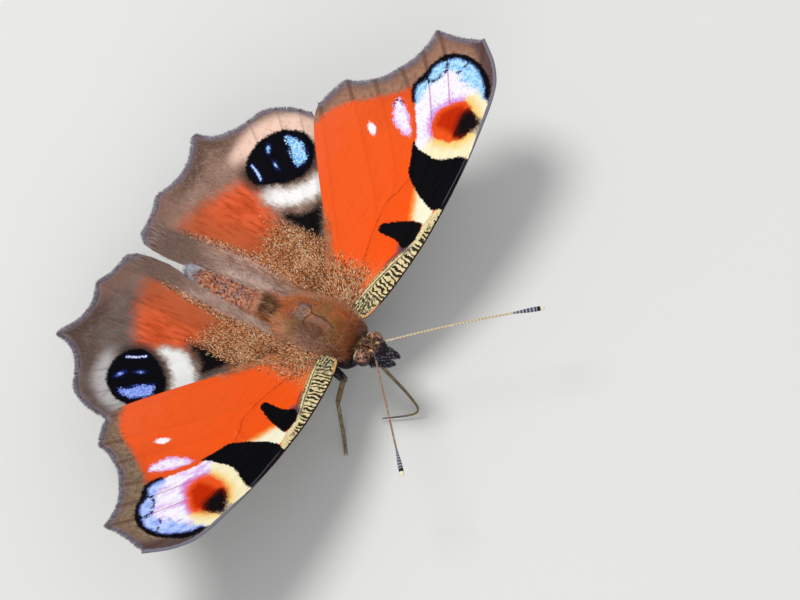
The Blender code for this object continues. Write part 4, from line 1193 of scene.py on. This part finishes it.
def hindwing_finish(side):
    """The upper side of a hindwing. Its colours differ by side as each side is lit: the right one is
    painted darker and greyer, with more violet blues.
    """
    # Each side's colours hold painted light and shade: the left lighter with a peach ring, the right
    # darker and greyer
    blue, pale_blue, ring_1, ring_2, white_1, ground_1, ground_2 = {
        "left": ("#6FB2F2", "#C2EEFB", "#F2CDB8", "#C09A88", "#FBF8F4", "#A08070", "#7C5E50"),
        "right": ("#7088EC", "#A6BDFB", "#B9B3B2", "#7C7370", "#F0F0EC", "#766660", "#55463F")}[side]
    f = Finish("hindwing " + side, 0.64, 0.03)
    plan = f.spot("plan")
    x, y = f.parts(plan)[:2]
    one, two, three, middle = f.cells(plan, SCALE)
    broad = f.noise(plan, 0.5, 3.0)
    wobble = f.noise(plan, 2.0, 3.0)
    fine = f.noise(plan, 7.0, 2.0)
    streak = f.noise(f.scaled(plan, (3.0, 0.6, 1.0)), 1.0, 3.0)
    hairs = f.noise(f.scaled(plan, (7.0, 0.9, 1.0)), 1.0, 2.0)
    jag = f.jagged(one, wobble)

    # Grey-brown ground, darker towards the edge
    f.colour = f.mix((broad + hairs * 0.8).step(-0.25, 0.35), ground_1, ground_2)
    dark_edge = (f.field("rim") + wobble * 1.4).step(2.6, 1.0)
    tail_side = (x - y).step(-5.0, -9.0)
    f.paint(dark_edge * (0.3 + tail_side * 0.45), "#4E3930")
    blotches = (wobble * 0.8 + hairs * 0.8).step(0.0, 0.35)
    f.paint(blotches * 0.35, "#B89A8A" if side == "left" else "#8C7C74")
    fleck = 0.35 if side == "left" else 0.15
    f.paint((one + fine).step(0.75, 0.95) * fleck, "#4E3C36")
    f.paint((two + fine).step(0.8, 1.0) * (0.7 * fleck), "#C4A898")
    rosy = (y + x * -0.6 + wobble * 1.6).step(15.5, 18.5) * 0.5
    f.paint(rosy, "#957264")
    # Rust-orange disc, browner beside the fold and brightest below its middle
    rust = f.mix((streak + broad * 0.8).step(-0.25, 0.25), "#E8643A", "#BE4A22")
    dull = x + y * 0.16 + (wobble * 2.0 + streak * 4.0)
    rust = f.mix(dull.step(9.6, 5.4) * 0.8, rust, "#AE5A36")
    rust = f.mix((y + wobble * 1.6).step(12.2, 9.6), rust, "#AA6038")
    rust = f.mix(y.step(16.0, 18.5) * 0.5, rust, "#A8573A")
    rust = f.mix(fine.step(0.05, 0.3) * 0.3, rust, "#E88A60")
    rust = f.mix((streak + fine * 0.3).step(0.06, 0.3) * 0.6, rust, "#8E4526")
    ragged = jag("rust", 0.4, 1.5) + hairs
    f.paint(ragged.step(-1.1, 0.8), rust)
    f.paint(f.field("vein").step(0.12, 0.03) * 0.16, "#5E3526")
    # Mauve-grey hairy fold beside the body
    fold = f.field("fold")
    inner = f.mix((hairs + wobble * 0.5).step(-0.2, 0.3), "#C8A290", "#9C786A")
    inner = f.mix((y + broad * 3.0).step(14.5, 18.5), inner,
                  f.mix(hairs.step(-0.2, 0.2), "#8E786E", "#5E4A44"))
    inner = f.mix((y + broad * 3.0).step(10.5, 7.0), inner, "#AE6A44")
    f.paint((fold + (hairs * 1.6 + wobble * 0.8)).step(0.5, -0.6), inner)
    # Rusty brown under the golden dust of the root and the fold
    root = (y + broad * 3.0).step(13.0, 9.5)
    share = root * (fold.step(-1.0, 0.3) * (x + wobble).step(8.2, 7.5))
    f.paint(share * 0.8, f.mix(fine.step(-0.1, 0.15), "#7E4628", "#C07C50"))
    # A pale ring past the eyespot, and soft dark scales on its inner side
    away = f.field("eye")
    outer = x * 0.75 + y * 0.66
    reached = (-2.2, -0.9) if side == "left" else (-1.8, -0.5)
    ring_share = (away + (wobble * 0.6 + hairs * 0.5)).step(*reached) * outer.step(18.8, 21.0)
    ring = f.mix((hairs * 0.5 + wobble * 0.8).step(-0.05, 0.4), ring_1, ring_2)
    ring = f.mix(f.field("vein").step(0.18, 0.04) * 0.3, ring, ground_2)
    f.paint(ring_share, ring)
    halo = (away + wobble * 0.4).step(-1.1, -0.1) * outer.step(20.6, 18.4)
    f.paint(halo * 0.8, "#3A2C27")
    soft = f.field("dark") + (wobble * 0.6 + (one - 0.5) * 0.2)
    soft = soft + hairs * 0.5
    f.paint(soft.step(-0.9, 0.3), f.mix(soft.step(-0.4, 0.3), "#5A463C", "#100C0D"))
    # White crescent with soft edges, fading at its lower end
    pale = f.field("crescent") + (wobble * 0.5 + hairs * 0.6)
    pale_end = (y + wobble * 0.8).step(*((14.8, 12.4) if side == "left" else (15.2, 13.4)))
    if side == "right":
        pale = pale + y.step(11.6, 14.2) * 0.8
    dim = f.mix(wobble.step(-0.1, 0.2), "#B5A294", "#8E7C70")
    wider = 0.0 if side == "left" else 0.2
    f.paint(pale.step(1.5 + wider, 0.8) * (pale_end * 0.85), dim)
    white = f.mix(hairs.step(0.05, 0.4) * 0.5, white_1, "#D9CCC2")
    f.paint(pale.step(1.15 + wider, 0.3 + wider) * pale_end, white)
    # Eyespot: black, with patches of blue scales
    f.paint(jag("eye", 0.16, 0.15).step(-0.16, 0.1), "#08080E")
    cell = (two - 0.5) * 0.36 + wobble * 0.6
    blue_depth = f.field("blue")
    raggedness = 0.35 + blue_depth.step(-0.6, -0.3) * 0.65
    patches = blue_depth.most(f.field("dot") - 0.02) + cell * raggedness
    f.paint(patches.step(-0.22, -0.02) * 0.55, "#1D2A78")
    scales = f.mix((three * 0.6 + wobble).step(0.1, 0.5), pale_blue, blue)
    f.paint(patches.step(-0.03, 0.1), scales)
    gleam = f.field("streak") + (two - 0.5) * 0.12
    f.paint(gleam.step(0.28, 0.12) * 0.6, "#28328A")
    f.paint(gleam.step(0.13, 0.07), "#B9DCFA" if side == "left" else "#DCE2FA")
    f.paint((f.field("rim") + wobble * 0.4).step(0.85, 0.35) * 0.7, "#7C7078")
    relief = -middle + hairs * 1.8
    return f.done(relief, 0.035, 0.5)


def fringe_finish(side):
    """Fine lilac-grey hairs along the outer margins, brown where a vein ends, painted darker on the right
    side for its shade.
    """
    f = Finish("fringe " + side, 0.6, 0.08)
    tone = f.field("tone") + f.noise(f.spot("plan"), 3.0, 2.0)
    # The right side's fringe is painted darker, as shade
    pale, dull = ("#A79CA6", "#8A7F88") if side == "left" else ("#99919C", "#756D76")
    f.colour = f.mix(tone.step(0.1, 0.9), dull, pale)
    f.paint(f.field("vein").step(0.35, 0.1) * 0.4, "#5E4C46")
    return f.done(f.field("reach"), 0.02, 0.3)


def dust_finish():
    """Loose golden, cream, rusty and dark scales."""
    f = Finish("dust", 0.5, 0.12)
    plan = f.spot("plan")
    tone = f.field("tone") + f.noise(plan, 0.6, 2.0) * 0.5
    f.colour = f.mix(tone.step(0.18, 0.24), "#54301E", "#BC6E3A")
    f.paint(tone.step(0.44, 0.54), "#E2A26C")
    f.paint(tone.step(0.77, 0.88), "#FADFBA")
    return f.done(f.noise(plan, 20.0, 1.0), 0.02, 0.4)


def hair_finish(name, pale, middle, dark, tail):
    """Silky hairs of mixed tone that turn to another colour towards the tail."""
    f = Finish(name, 0.55, 0.12)
    plan = f.spot("plan")
    tone = f.field("tone") * 0.5 + f.noise(plan, 1.0, 2.0)
    f.colour = f.mix(tone.step(-0.05, 0.25), dark, middle)
    f.paint(tone.step(0.25, 0.6), pale)
    y = f.parts(plan)[1]
    turned = (y + f.noise(plan, 0.5) * 4.0).step(13.5, 18.5)
    f.paint(turned * tone.step(-0.1, 0.5), tail)
    f.paint(turned * 0.55, tail)
    return f.done(f.field("reach"), 0.02, 0.3)


def outward(places, centre, spread, rng):
    """Ways of lying that run out from a point, spread by some radians."""
    away = unit(places - np.array(centre))
    turn = rng.normal(0.0, spread, len(places))
    return np.column_stack([away[:, 0] * np.cos(turn) - away[:, 1] * np.sin(turn),
                            away[:, 0] * np.sin(turn) + away[:, 1] * np.cos(turn)])


def loose(plan, what, name, side, density, count, length, width, lift, centre, spread, material, rng):
    """Hairs or scales that stand up from the upper side of a wing and run out from a centre."""
    flat, faces = plan["flat"], plan["faces"]
    upper = np.column_stack([flat, wing_top(plan, flat)])
    root, normal, (place,) = scatter(upper, faces, density, count, rng, [flat])
    along = level(outward(place, centre, spread, rng))
    root, normal, along = [mirrored(values, side) for values in (root, normal, along)]
    made = grow("_".join([plan["kind"], what, name]), root - normal * ROOT_DEPTH, along, normal,
                length * rng.uniform(0.6, 1.2, count), width * rng.uniform(0.7, 1.2, count), rng,
                lift=lift * rng.uniform(0.4, 1.6, count), droop=0.6, flat=0.3, widest=0.5,
                fields={"plan": level(place)}, unwrapped=plan_map(place))
    finished(made, plan["kind"] + "_scales", [material])


def build_wings():
    rng = np.random.default_rng(5)
    fore = plan_wing("forewing", forewing_height, FOREWING_COSTA, FOREWING_TEETH, FOREWING_BAYS,
                     FOREWING_INNER, FOREWING_VEINS)
    hind = plan_wing("hindwing", hindwing_height, HINDWING_FRONT, HINDWING_TEETH, HINDWING_BAYS,
                     HINDWING_BEHIND, HINDWING_VEINS)
    fore_fields = forewing_fields(fore)
    below = underside_finish()
    dust = dust_finish()
    mauve = hair_finish("fold hair", "#E8C4B0", "#BE9684", "#94705F", "#8A7266")
    silk = hair_finish("inner hair", "#F8DCCC", "#DCB8A8", "#B08E80", "#94847C")
    blush = hair_finish("inner fringe", "#E8A882", "#D98A60", "#C0643C", "#C0785C")
    # Where the loose scales and hairs grow
    x, y = fore["flat"].T
    fore_root = (1 - smooth(x, 3.6, 7.2)) * smooth(y, 1.0, 1.8)
    from_edge = nearest(fore["flat"], spline(FOREWING_INNER[:5], 8))[0]
    fore_inner = (1 - smooth(from_edge, 0.05, 0.8)) * (1 - smooth(x, 5.5, 10.5))
    x, y = hind["flat"].T
    hind_inner = (1 - smooth(x, 1.7, 2.6)) * smooth(y, 5.5, 7.5) * (1 - smooth(y, 13, 16))
    for name, side in SIDES:
        build_membrane(fore, name, side, fore_fields, [forewing_finish(name), below])
        build_membrane(hind, name, side, hindwing_fields(hind, side), [hindwing_finish(name), below])
        edge = fringe_finish(name)
        build_fringe(fore, name, side, edge, rng)
        build_fringe(hind, name, side, edge, rng)
        fold, dust_end = FOLD_X[side], DUST_END_X[side]
        root = ((1 - smooth(y - 0.25 * x, 6.0, 11.5)) * smooth(x, fold - 1.2, fold + 0.4)
                * (1 - smooth(x, dust_end, dust_end + 1.1)))
        crest = np.abs(x - fold + 0.1 * np.maximum(0, y - 12))
        dusted = np.maximum(root, 0.55 * (1 - smooth(crest, 0.05, 0.5)) * (1 - smooth(y, 14.0, 19.5)))
        hairy = (1 - smooth(x, fold - 1.5, fold - 0.3)) * (1 - smooth(y, 17.0, 21.0))
        for plan, what, density, count, length, width, lift, centre, spread, material in (
                (fore, "dust", fore_root, 2900, 0.32, 0.08, 0.25, (1.0, 1.5), 0.25, dust),
                (hind, "dust", dusted, 6000, 0.26, 0.09, 0.3, (2.0, 0.0), 0.6, dust),
                (hind, "fold_hair", hairy, 6500, 0.85, 0.032, 0.08, (1.4, -12.0), 0.12, mauve),
                (hind, "inner_hair", hind_inner, 1800, 0.95, 0.036, 0.25, (6.0, -2.0), 0.25, silk),
                (fore, "inner_fringe", fore_inner, 1200, 0.55, 0.035, 0.12, (3.0, -3.0), 0.3, blush)):
            loose(plan, what, name, side, density, count, length, width, lift, centre, spread, material,
                  rng)


# Head and limbs


def limb(route, radii, sides, steps, side=1):
    """A smooth tube through a few places with a radius at each, flipped for the right side."""
    path = spline(np.column_stack([np.asarray(route, float), radii]), steps)
    return tube(path[:, :3], path[:, 3], sides, side)


def bristles(name, body, density, count, length, width, lift, slot, material, rng, spread=0.25):
    """Hairs along a limb, leaning the way it runs."""
    points, faces, ahead, walked = body[:4]
    root, normal, (along, place) = scatter(points, faces, density, count, rng, [ahead, walked])
    turn = np.arctan2(normal[:, 0], normal[:, 2]) / math.tau + 0.5
    unwrapped = on_map(np.column_stack([turn, place / walked.max()]))
    along = along + spread * rng.normal(size=along.shape)
    made = grow(name, root - normal * ROOT_DEPTH / 2, along, normal,
                given(length, place) * rng.uniform(0.6, 1.15, count), width, rng, lift=lift,
                fields={"place": root, "walked": place}, unwrapped=unwrapped)
    return finished(made, slot, [material])


def core(name, body, slot, material, replaced, **fields):
    """A limb's own surface, in place of a node of the part."""
    points, faces = body[:2]
    fields = {key: value + np.zeros(len(points)) for key, value in fields.items()}
    made = make_mesh(name, points, faces, {"place": points, **fields})
    finished(made, slot, [material], (replaced,))


def eye_finish():
    """A dark brown eye mottled with pinkish scales, a few darker spots and a pale rim behind; painted
    shade darkens its lower part and a painted highlight lightens its upper part.
    """
    f = Finish("eye", 0.32, 0.3)
    place = f.spot("place")
    facets = f.cells(place, 13.0)
    _, y, z = f.parts(place)
    wobble = f.noise(place, 2.6, 3.0)
    # Painted shade: darker towards the bottom and lighter towards the top
    height = z + wobble * 0.6
    f.colour = f.mix(height.step(-0.1, 0.6), "#200E09", "#7A452C")
    grain = f.noise(place, 4.8, 3.0)
    # The pinkish mottle only on the upper part, as a painted highlight
    mottle_and_painted_highlight = grain.step(0.0, 0.06) * height.step(0.1, 0.55)
    f.paint(mottle_and_painted_highlight * 0.65, "#C89A80")
    f.paint(grain.step(-0.02, -0.1) * 0.75, "#1E0E0A")
    spots = f.cells(place, 2.7)
    f.paint(spots[3].step(0.42, 0.33) * spots[0].step(0.4, 0.45), "#120808")
    f.paint(facets[0] * 0.1, "#B99C90")
    rim = (y + wobble * 0.12).step(-1.57, -1.51)
    f.paint(rim * grain.step(-0.15, 0.05), "#D8C8AA")
    return f.done(-facets[3], 0.02, 0.5)


def build_eyes(rng):
    eye = eye_finish()
    rim_hair = shaggy_finish("eye rim", "#BBA78C", "#E9DCC2", "#F6EEDA")
    centre, radius = np.array([1.0, -2.08, -0.06]), 0.8
    tilt = np.linspace(0.0, math.pi, 50)[1:-1]
    for name, side in SIDES:
        route = centre + np.outer(np.cos(tilt), (0.0, 0.0, 1.0)) * radius
        points, faces, _, _ = tube(route, np.sin(tilt) * radius, 64, side)
        core("eye_detail_" + name, (points, faces), "eye", eye, "eye_" + name)
        ring = np.exp(-((points[:, 1] + 1.46) / 0.05) ** 2)
        away = points - mirrored(centre, side)
        bristles("eye_rim_" + name, (points, faces, away + (0, 0.8, 0), points[:, 1]), ring, 450,
                 0.15, 0.035, 0.5, "head_hair", rim_hair, rng, 0.2)


def feeler_finish(name, length, low, high, glint):
    """Ringed tan scales, then a blue-grey club, dark before its cream tip, and painted shade underneath.
    """
    f = Finish("feeler " + name, 0.55, 0.25)
    from_tip = f.field("walked")
    place = f.spot("place")
    z = f.field("upper")
    wobble = f.noise(place, 4.0, 2.0)
    ring = f.wave(from_tip * 3.2 + wobble * 0.3)
    shaft = f.mix(ring.step(-0.6, 0.3), low, high)
    shaft = f.mix(wobble.step(0.08, 0.2), shaft, glint)
    # Painted shade on the underside of the shaft
    shaft = f.mix(z.step(0.0, -0.7) * 0.6, shaft, "#4E3A30")
    club = f.mix(ring.step(-0.6, -0.1), "#23252C", "#9498A8")
    club = f.mix((wobble + ring * 0.1).step(0.08, 0.2), club, "#B0A4C0")
    # Painted shade on the underside of the club
    club = f.mix(z.step(0.1, -0.4), club, "#17161A")
    f.colour = f.mix(from_tip.step(3.1, 2.5), shaft, club)
    f.paint(from_tip.step(0.75, 0.65), "#121110")
    f.paint(from_tip.step(0.42, 0.36), "#F3EBCB")
    f.paint(from_tip.step(length - 0.5, length - 0.4), "#E4B07C")
    relief = ring * 0.5 + f.cells(place, 16.0)[3] * -0.8
    return f.done(relief, 0.03, 0.6)


FEELER_ROOT = np.array([0.538, -2.988, 0.841])
FEELER_REACHES = {"left": (9.5, -11.3, 0.3), "right": (10.7, -9.0, 1.3)}


def build_feelers(rng):
    brow = shaggy_finish("brow", "#17121A", "#6A5E68", "#B0A4B4")
    tones = {"left": ("#B8A680", "#DCCCA6", "#F0E4CC"), "right": ("#7A5C48", "#AC896C", "#D6BA9E")}
    for name, side in SIDES:
        t = np.linspace(0.0, 1.0, 60)[1:, None]
        route = FEELER_ROOT + t * FEELER_REACHES[name] + t * (1 - t) * (0.0, 0.0, 1.4)
        route = np.vstack([[(0.36, -2.45, 0.30), (0.40, -2.52, 0.52), (0.46, -2.72, 0.72)], route])
        route = evenly(route, 0.075)
        from_tip = np.linalg.norm(route - route[-1], axis=1)
        swell = np.clip(1 - np.abs(from_tip - 0.85) / 2.1, 0, 1)
        radii = 0.088 + 0.125 * np.sin(swell * math.pi / 2) ** 1.6
        radii[:5] = (0.12, 0.20, 0.24, 0.22, 0.15)
        radii = np.minimum(radii, np.sqrt(np.maximum(0.0016, 0.35 * from_tip)))
        radii = radii * (1 + 0.05 * np.sin(np.arange(len(route)) * math.tau * 0.24))
        points, faces, _, _ = tube(route, radii, 16, side)
        left = np.append(np.repeat(from_tip, 16), (from_tip[0], 0.0))
        upper = np.append(np.tile(np.sin(np.arange(16) * math.tau / 16), len(route)), (0.0, 0.0))
        core("feeler_" + name, (points, faces), "feeler",
             feeler_finish(name, from_tip[0], *tones[name]), "antenna_" + name, walked=left, upper=upper)
        # Greyish scales thicken the shaft near its root, further on the right side
        length = from_tip[0] - left
        reach = 1.6 if side < 0 else 0.9
        ahead = np.tile(unit(np.array(FEELER_REACHES[name]) * (side, 1.0, 1.0)), (len(points), 1))
        bristles("brow_" + name, (points, faces, ahead, length), (length > 0.5) * (length < reach), 240,
                 0.24, 0.05, 0.25, "head_hair", brow, rng, 0.1)


def shaggy_finish(name, dark, pale, glint):
    """Dark hairs with a coloured sheen for the palps and thighs."""
    f = Finish(name, 0.6, 0.35, 0.1)
    tone = f.field("tone")
    place = f.spot("place")
    wobble = f.noise(place, 3.0, 2.0)
    f.colour = f.mix((tone + wobble).step(0.35, 0.75), dark, pale)
    f.paint((tone + wobble).step(0.86, 0.95), glint)
    return f.done(f.noise(place, 12.0, 2.0), 0.03, 0.6)


def build_palps(rng):
    palp = shaggy_finish("palp hair", "#0F0D12", "#3F3744", "#B4A8BE")
    for name, side in SIDES:
        route = [(0.38, -2.6, -0.55), (0.46, -3.2, -0.36), (0.50, -3.9, -0.22), (0.46, -4.5, -0.08),
                 (0.44, -4.85, 0.0)]
        body = limb(route, [0.30, 0.33, 0.28, 0.17, 0.05], 20, 10, side)
        core("palp_core_" + name, body, "head_hair", palp, "palp_" + name, tone=0.3)
        bristles("palp_hair_" + name, body, np.ones(len(body[0])), 1100,
                 lambda walked: 0.8 - 0.2 * walked, 0.075, 0.5, "head_hair", palp, rng, 0.4)


def horn_finish(name):
    """Horny skin of legs and proboscis: olive-brown, with painted shade underneath and a painted highlight
    along the top.
    """
    f = Finish(name, 0.36, 0.5)
    place = f.spot("place")
    walked = f.field("walked")
    wobble = f.noise(place, 2.4, 3.0)
    scales = f.cells(place, 9.0)
    f.colour = f.mix(wobble.step(-0.25, 0.3), "#5C4620", "#80673A")
    f.paint((scales[0] + wobble).step(0.7, 0.95) * 0.5, "#A8925E")
    painted_light_facing = f.parts(f.value("NewGeometry", {}, {}, "Normal"))[2]
    # Painted highlight on faces that look up, painted shade on those that look down
    f.paint((painted_light_facing + wobble).step(0.2, 0.9) * 0.5, "#A8946A")
    f.paint(painted_light_facing.step(0.2, -0.6) * 0.7, "#2A1D0E")
    return f, walked, wobble, scales


def leg_finish():
    """Black thighs with a blue-grey sheen, and dark rings at the foot's short joints."""
    f, walked, wobble, scales = horn_finish("leg")
    thigh = f.mix((scales[1] + wobble).step(0.5, 0.8), "#121014", "#45495A")
    f.colour = f.mix((walked + wobble).step(0.92, 1.04), thigh, f.colour)
    joints = f.wave(walked * 5.0).step(0.8, 0.98)
    f.paint(joints * walked.step(1.95, 2.0) * 0.5, "#2E2210")
    return f.done(wobble - scales[3], 0.035, 0.6)


def proboscis_finish():
    """Dark rings, and darker towards the tip."""
    f, walked, _, scales = horn_finish("proboscis")
    ring = f.wave(walked * 5.5)
    f.paint(ring.step(0.3, -0.6) * 0.55, "#20160F")
    f.paint(walked.step(7.5, 9.5), "#3A2C14")
    return f.done(ring * 0.5 + scales[3] * -0.5, 0.02, 0.5)


def build_proboscis():
    route = [(0.0, -2.75, -1.1), (0.0, -2.95, -1.7), (0.0, -3.41, -2.35), (-0.05, -5.31, -4.42),
             (-0.1, -6.22, -5.65), (-0.18, -6.6, -6.3), (-0.4, -6.5, -6.85), (-0.95, -5.8, -7.05),
             (-2.1, -4.0, -7.15)]
    radii = [0.2, 0.17, 0.165, 0.14, 0.12, 0.11, 0.1, 0.09, 0.05]
    body = limb(route, radii, 20, 24)
    core("proboscis_tube", body, "leg", proboscis_finish(), "proboscis", walked=body[3])


MIDLEGS = {"left": [(2.8, 2.4, -2.6), (4.6, 2.9, -5.2), (6.2, 3.2, -7.3), (7.6, 3.5, -7.45)],
           "right": [(2.6, -0.8, -2.2), (3.5, -0.45, -5.0), (5.3, -1.9, -7.3), (6.5, -2.75, -7.45)]}
HINDLEG = [(3.3, 6.2, -2.9), (5.0, 9.0, -6.0), (6.2, 11.3, -7.3), (6.8, 12.6, -7.45)]


def leg_parts(root, inner, joints, side):
    """A leg in three lengths and its claws; walked runs 0, 1, 2 and 3 at its joints."""
    knee, ankle, heel, toe = [np.array(joint) for joint in joints]
    root, inner = np.array(root), np.array(inner)
    thigh = [inner, root, (root + knee) / 2 - (0, 0, 0.15), knee * 0.93 + root * 0.07, knee]
    shin = [knee, knee * 0.75 + ankle * 0.25, (knee + ankle) / 2, ankle * 0.9 + knee * 0.1, ankle]
    parts = [limb(thigh, [0.3, 0.3, 0.33, 0.27, 0.22], 20, 10, side),
             limb(shin, [0.22, 0.235, 0.24, 0.23, 0.19], 20, 10, side)]
    # Five short joints to the foot, each swelling to its end
    path = spline([ankle, ankle * 0.5 + heel * 0.5, heel * 0.85 + ankle * 0.15,
                   heel * 0.85 + toe * 0.15, heel * 0.4 + toe * 0.6, toe], 40)
    path = evenly(path, 0.05)
    share = np.linspace(0, 5, len(path))
    swell = 0.165 + 0.025 * (share % 1.0) ** 2 - 0.006 * share
    swell[-2:] *= 0.7
    parts.append(tube(path, swell, 18, side))
    # Two hooked claws
    forward = unit(toe - heel)
    across = np.cross(forward, (0.0, 0.0, 1.0))
    for way in (-1, 1):
        hook = [toe - forward * 0.08, toe + forward * 0.1 + across * way * 0.1 + (0, 0, 0.05),
                toe + forward * 0.2 + across * way * 0.13 - (0, 0, 0.02),
                toe + forward * 0.26 + across * way * 0.1 - (0, 0, 0.08)]
        parts.append(limb(hook, [0.05, 0.045, 0.03, 0.012], 8, 4, side))
    staged = []
    for k, part in enumerate(parts):
        walked = min(k, 3) + 0.999 * part[3] / part[3].max()
        staged.append((part[0], part[1], part[2], walked))
    return joined(staged)


def build_legs(rng):
    leg = leg_finish()
    thigh = shaggy_finish("leg hair", "#0D0C10", "#3F4454", "#9AA3B4")
    shin = shaggy_finish("leg bristles", "#2B1E0E", "#6A5228", "#C0AA7A")
    for name, side in SIDES:
        for kind, root, inner, joints in (
                ("midleg", (1.15, 1.6, -3.45), (0.9, 1.9, -2.2), MIDLEGS[name]),
                ("hindleg", (1.1, 4.6, -3.4), (0.85, 4.6, -2.2), HINDLEG)):
            body = leg_parts(root, inner, joints, side)
            points, walked = body[0], body[3]
            # The foot's underside is worn flat on the floor.
            points[:, 2] = np.maximum(points[:, 2], -HINGE_HEIGHT)
            core(kind + "_detail_" + name, body, "leg", leg, kind + "_" + name, walked=walked, tone=0.4)
            clear = points[:, 2] > 0.25 - HINGE_HEIGHT
            bristles(kind + "_hair_" + name, body, (walked < 0.97) * (walked > 0.2) * 1.0, 900,
                     0.45, 0.045, 0.35, "leg", thigh, rng)
            bristles(kind + "_bristles_" + name, body, (walked > 1.0) * (walked < 2.9) * clear, 420,
                     0.20, 0.028, 0.4, "leg", shin, rng, 0.1)
        root = np.array([0.85, 0.7, -3.0])
        route = [root + (0, 0.4, 1.0), root, root + (0.05, -0.7, 0.15), root + (-0.05, -1.4, 0.7),
                 root + (-0.15, -1.9, 1.3)]
        body = limb(route, [0.22, 0.24, 0.24, 0.18, 0.08], 20, 12, side)
        core("foreleg_core_" + name, body, "leg", thigh, "foreleg_" + name, walked=0.0, tone=0.3)
        bristles("foreleg_brush_" + name, body, np.ones(len(body[0])), 1600,
                 0.4, 0.045, 0.4, "leg", thigh, rng)


# Light, floor and camera

FLOOR_REACH = 3000.0             # from the middle to each side
LAMP_DISTANCE = 0.9              # in metres, like the sizes of the lamps


def build_stage():
    corners = [(u * FLOOR_REACH, v * FLOOR_REACH, -HINGE_HEIGHT)
               for u, v in ((-1, -1), (1, -1), (1, 1), (-1, 1))]
    floor = make_mesh("floor", corners, [(0, 1, 2, 3)])
    f = Finish("floor", 0.8, 0.2)
    f.colour = "#E6E5E1"
    floor.data.materials.append(f.done())
    world = bpy.data.worlds.new("studio")
    world.use_nodes = True
    sky = world.node_tree.nodes["Background"].inputs
    sky["Color"].default_value = (0.93, 0.95, 1.0, 1.0)
    sky["Strength"].default_value = 0.44
    bpy.context.scene.world = world

    def lamp(name, towards, size, power):
        data = bpy.data.lights.new(name, "AREA")
        data.shape = "DISK"
        data.size = size
        data.energy = power
        made = bpy.data.objects.new(name, data)
        direction = Vector(towards).normalized()
        made.location = direction * LAMP_DISTANCE
        made.rotation_euler = direction.to_track_quat("Z", "Y").to_euler()
        bpy.context.scene.collection.objects.link(made)

    lamp("key", (-0.05, 0.40, 0.92), 0.35, 4.4)
    lamp("fill", (-0.8, -0.5, 0.6), 0.6, 2.1)


# The camera as it was fitted to the photograph: its own axes in the frame.
CAMERA_RIGHT = Vector((0.489, -0.869, -0.076))
CAMERA_UP = Vector((0.746, 0.372, 0.553))
CAMERA_DISTANCE = 500.0
PIXELS_TO_MM = 11.378            # on the plane through the hinges
PHOTO_WIDTH = 800.0
PHOTO_MIDDLE = (400.0, 300.0)
HINGE_PIXEL = (348.2, 339.7)


def build_camera():
    right = CAMERA_RIGHT.normalized()
    back = right.cross(CAMERA_UP).normalized()
    up = back.cross(right)
    data = bpy.data.cameras.new("camera")
    data.sensor_width = 36.0
    data.lens = data.sensor_width * CAMERA_DISTANCE * PIXELS_TO_MM / PHOTO_WIDTH
    data.clip_start = 0.01
    data.clip_end = 20.0
    camera = bpy.data.objects.new("camera", data)
    shift_x = (PHOTO_MIDDLE[0] - HINGE_PIXEL[0]) / PIXELS_TO_MM
    shift_y = (HINGE_PIXEL[1] - PHOTO_MIDDLE[1]) / PIXELS_TO_MM
    spot = back * CAMERA_DISTANCE + right * shift_x + up * shift_y
    axes = Matrix((right, up, back)).transposed().to_4x4()
    axes.translation = Vector(placed(spot))
    camera.matrix_world = axes
    bpy.context.scene.collection.objects.link(camera)
    bpy.context.scene.camera = camera
    bpy.context.scene.view_settings.view_transform = "Standard"


build_camera()
build_stage()
build_wings()
build_body()
build_proboscis()
limb_rng = np.random.default_rng(23)
build_feelers(limb_rng)
build_eyes(limb_rng)
build_palps(limb_rng)
build_legs(limb_rng)
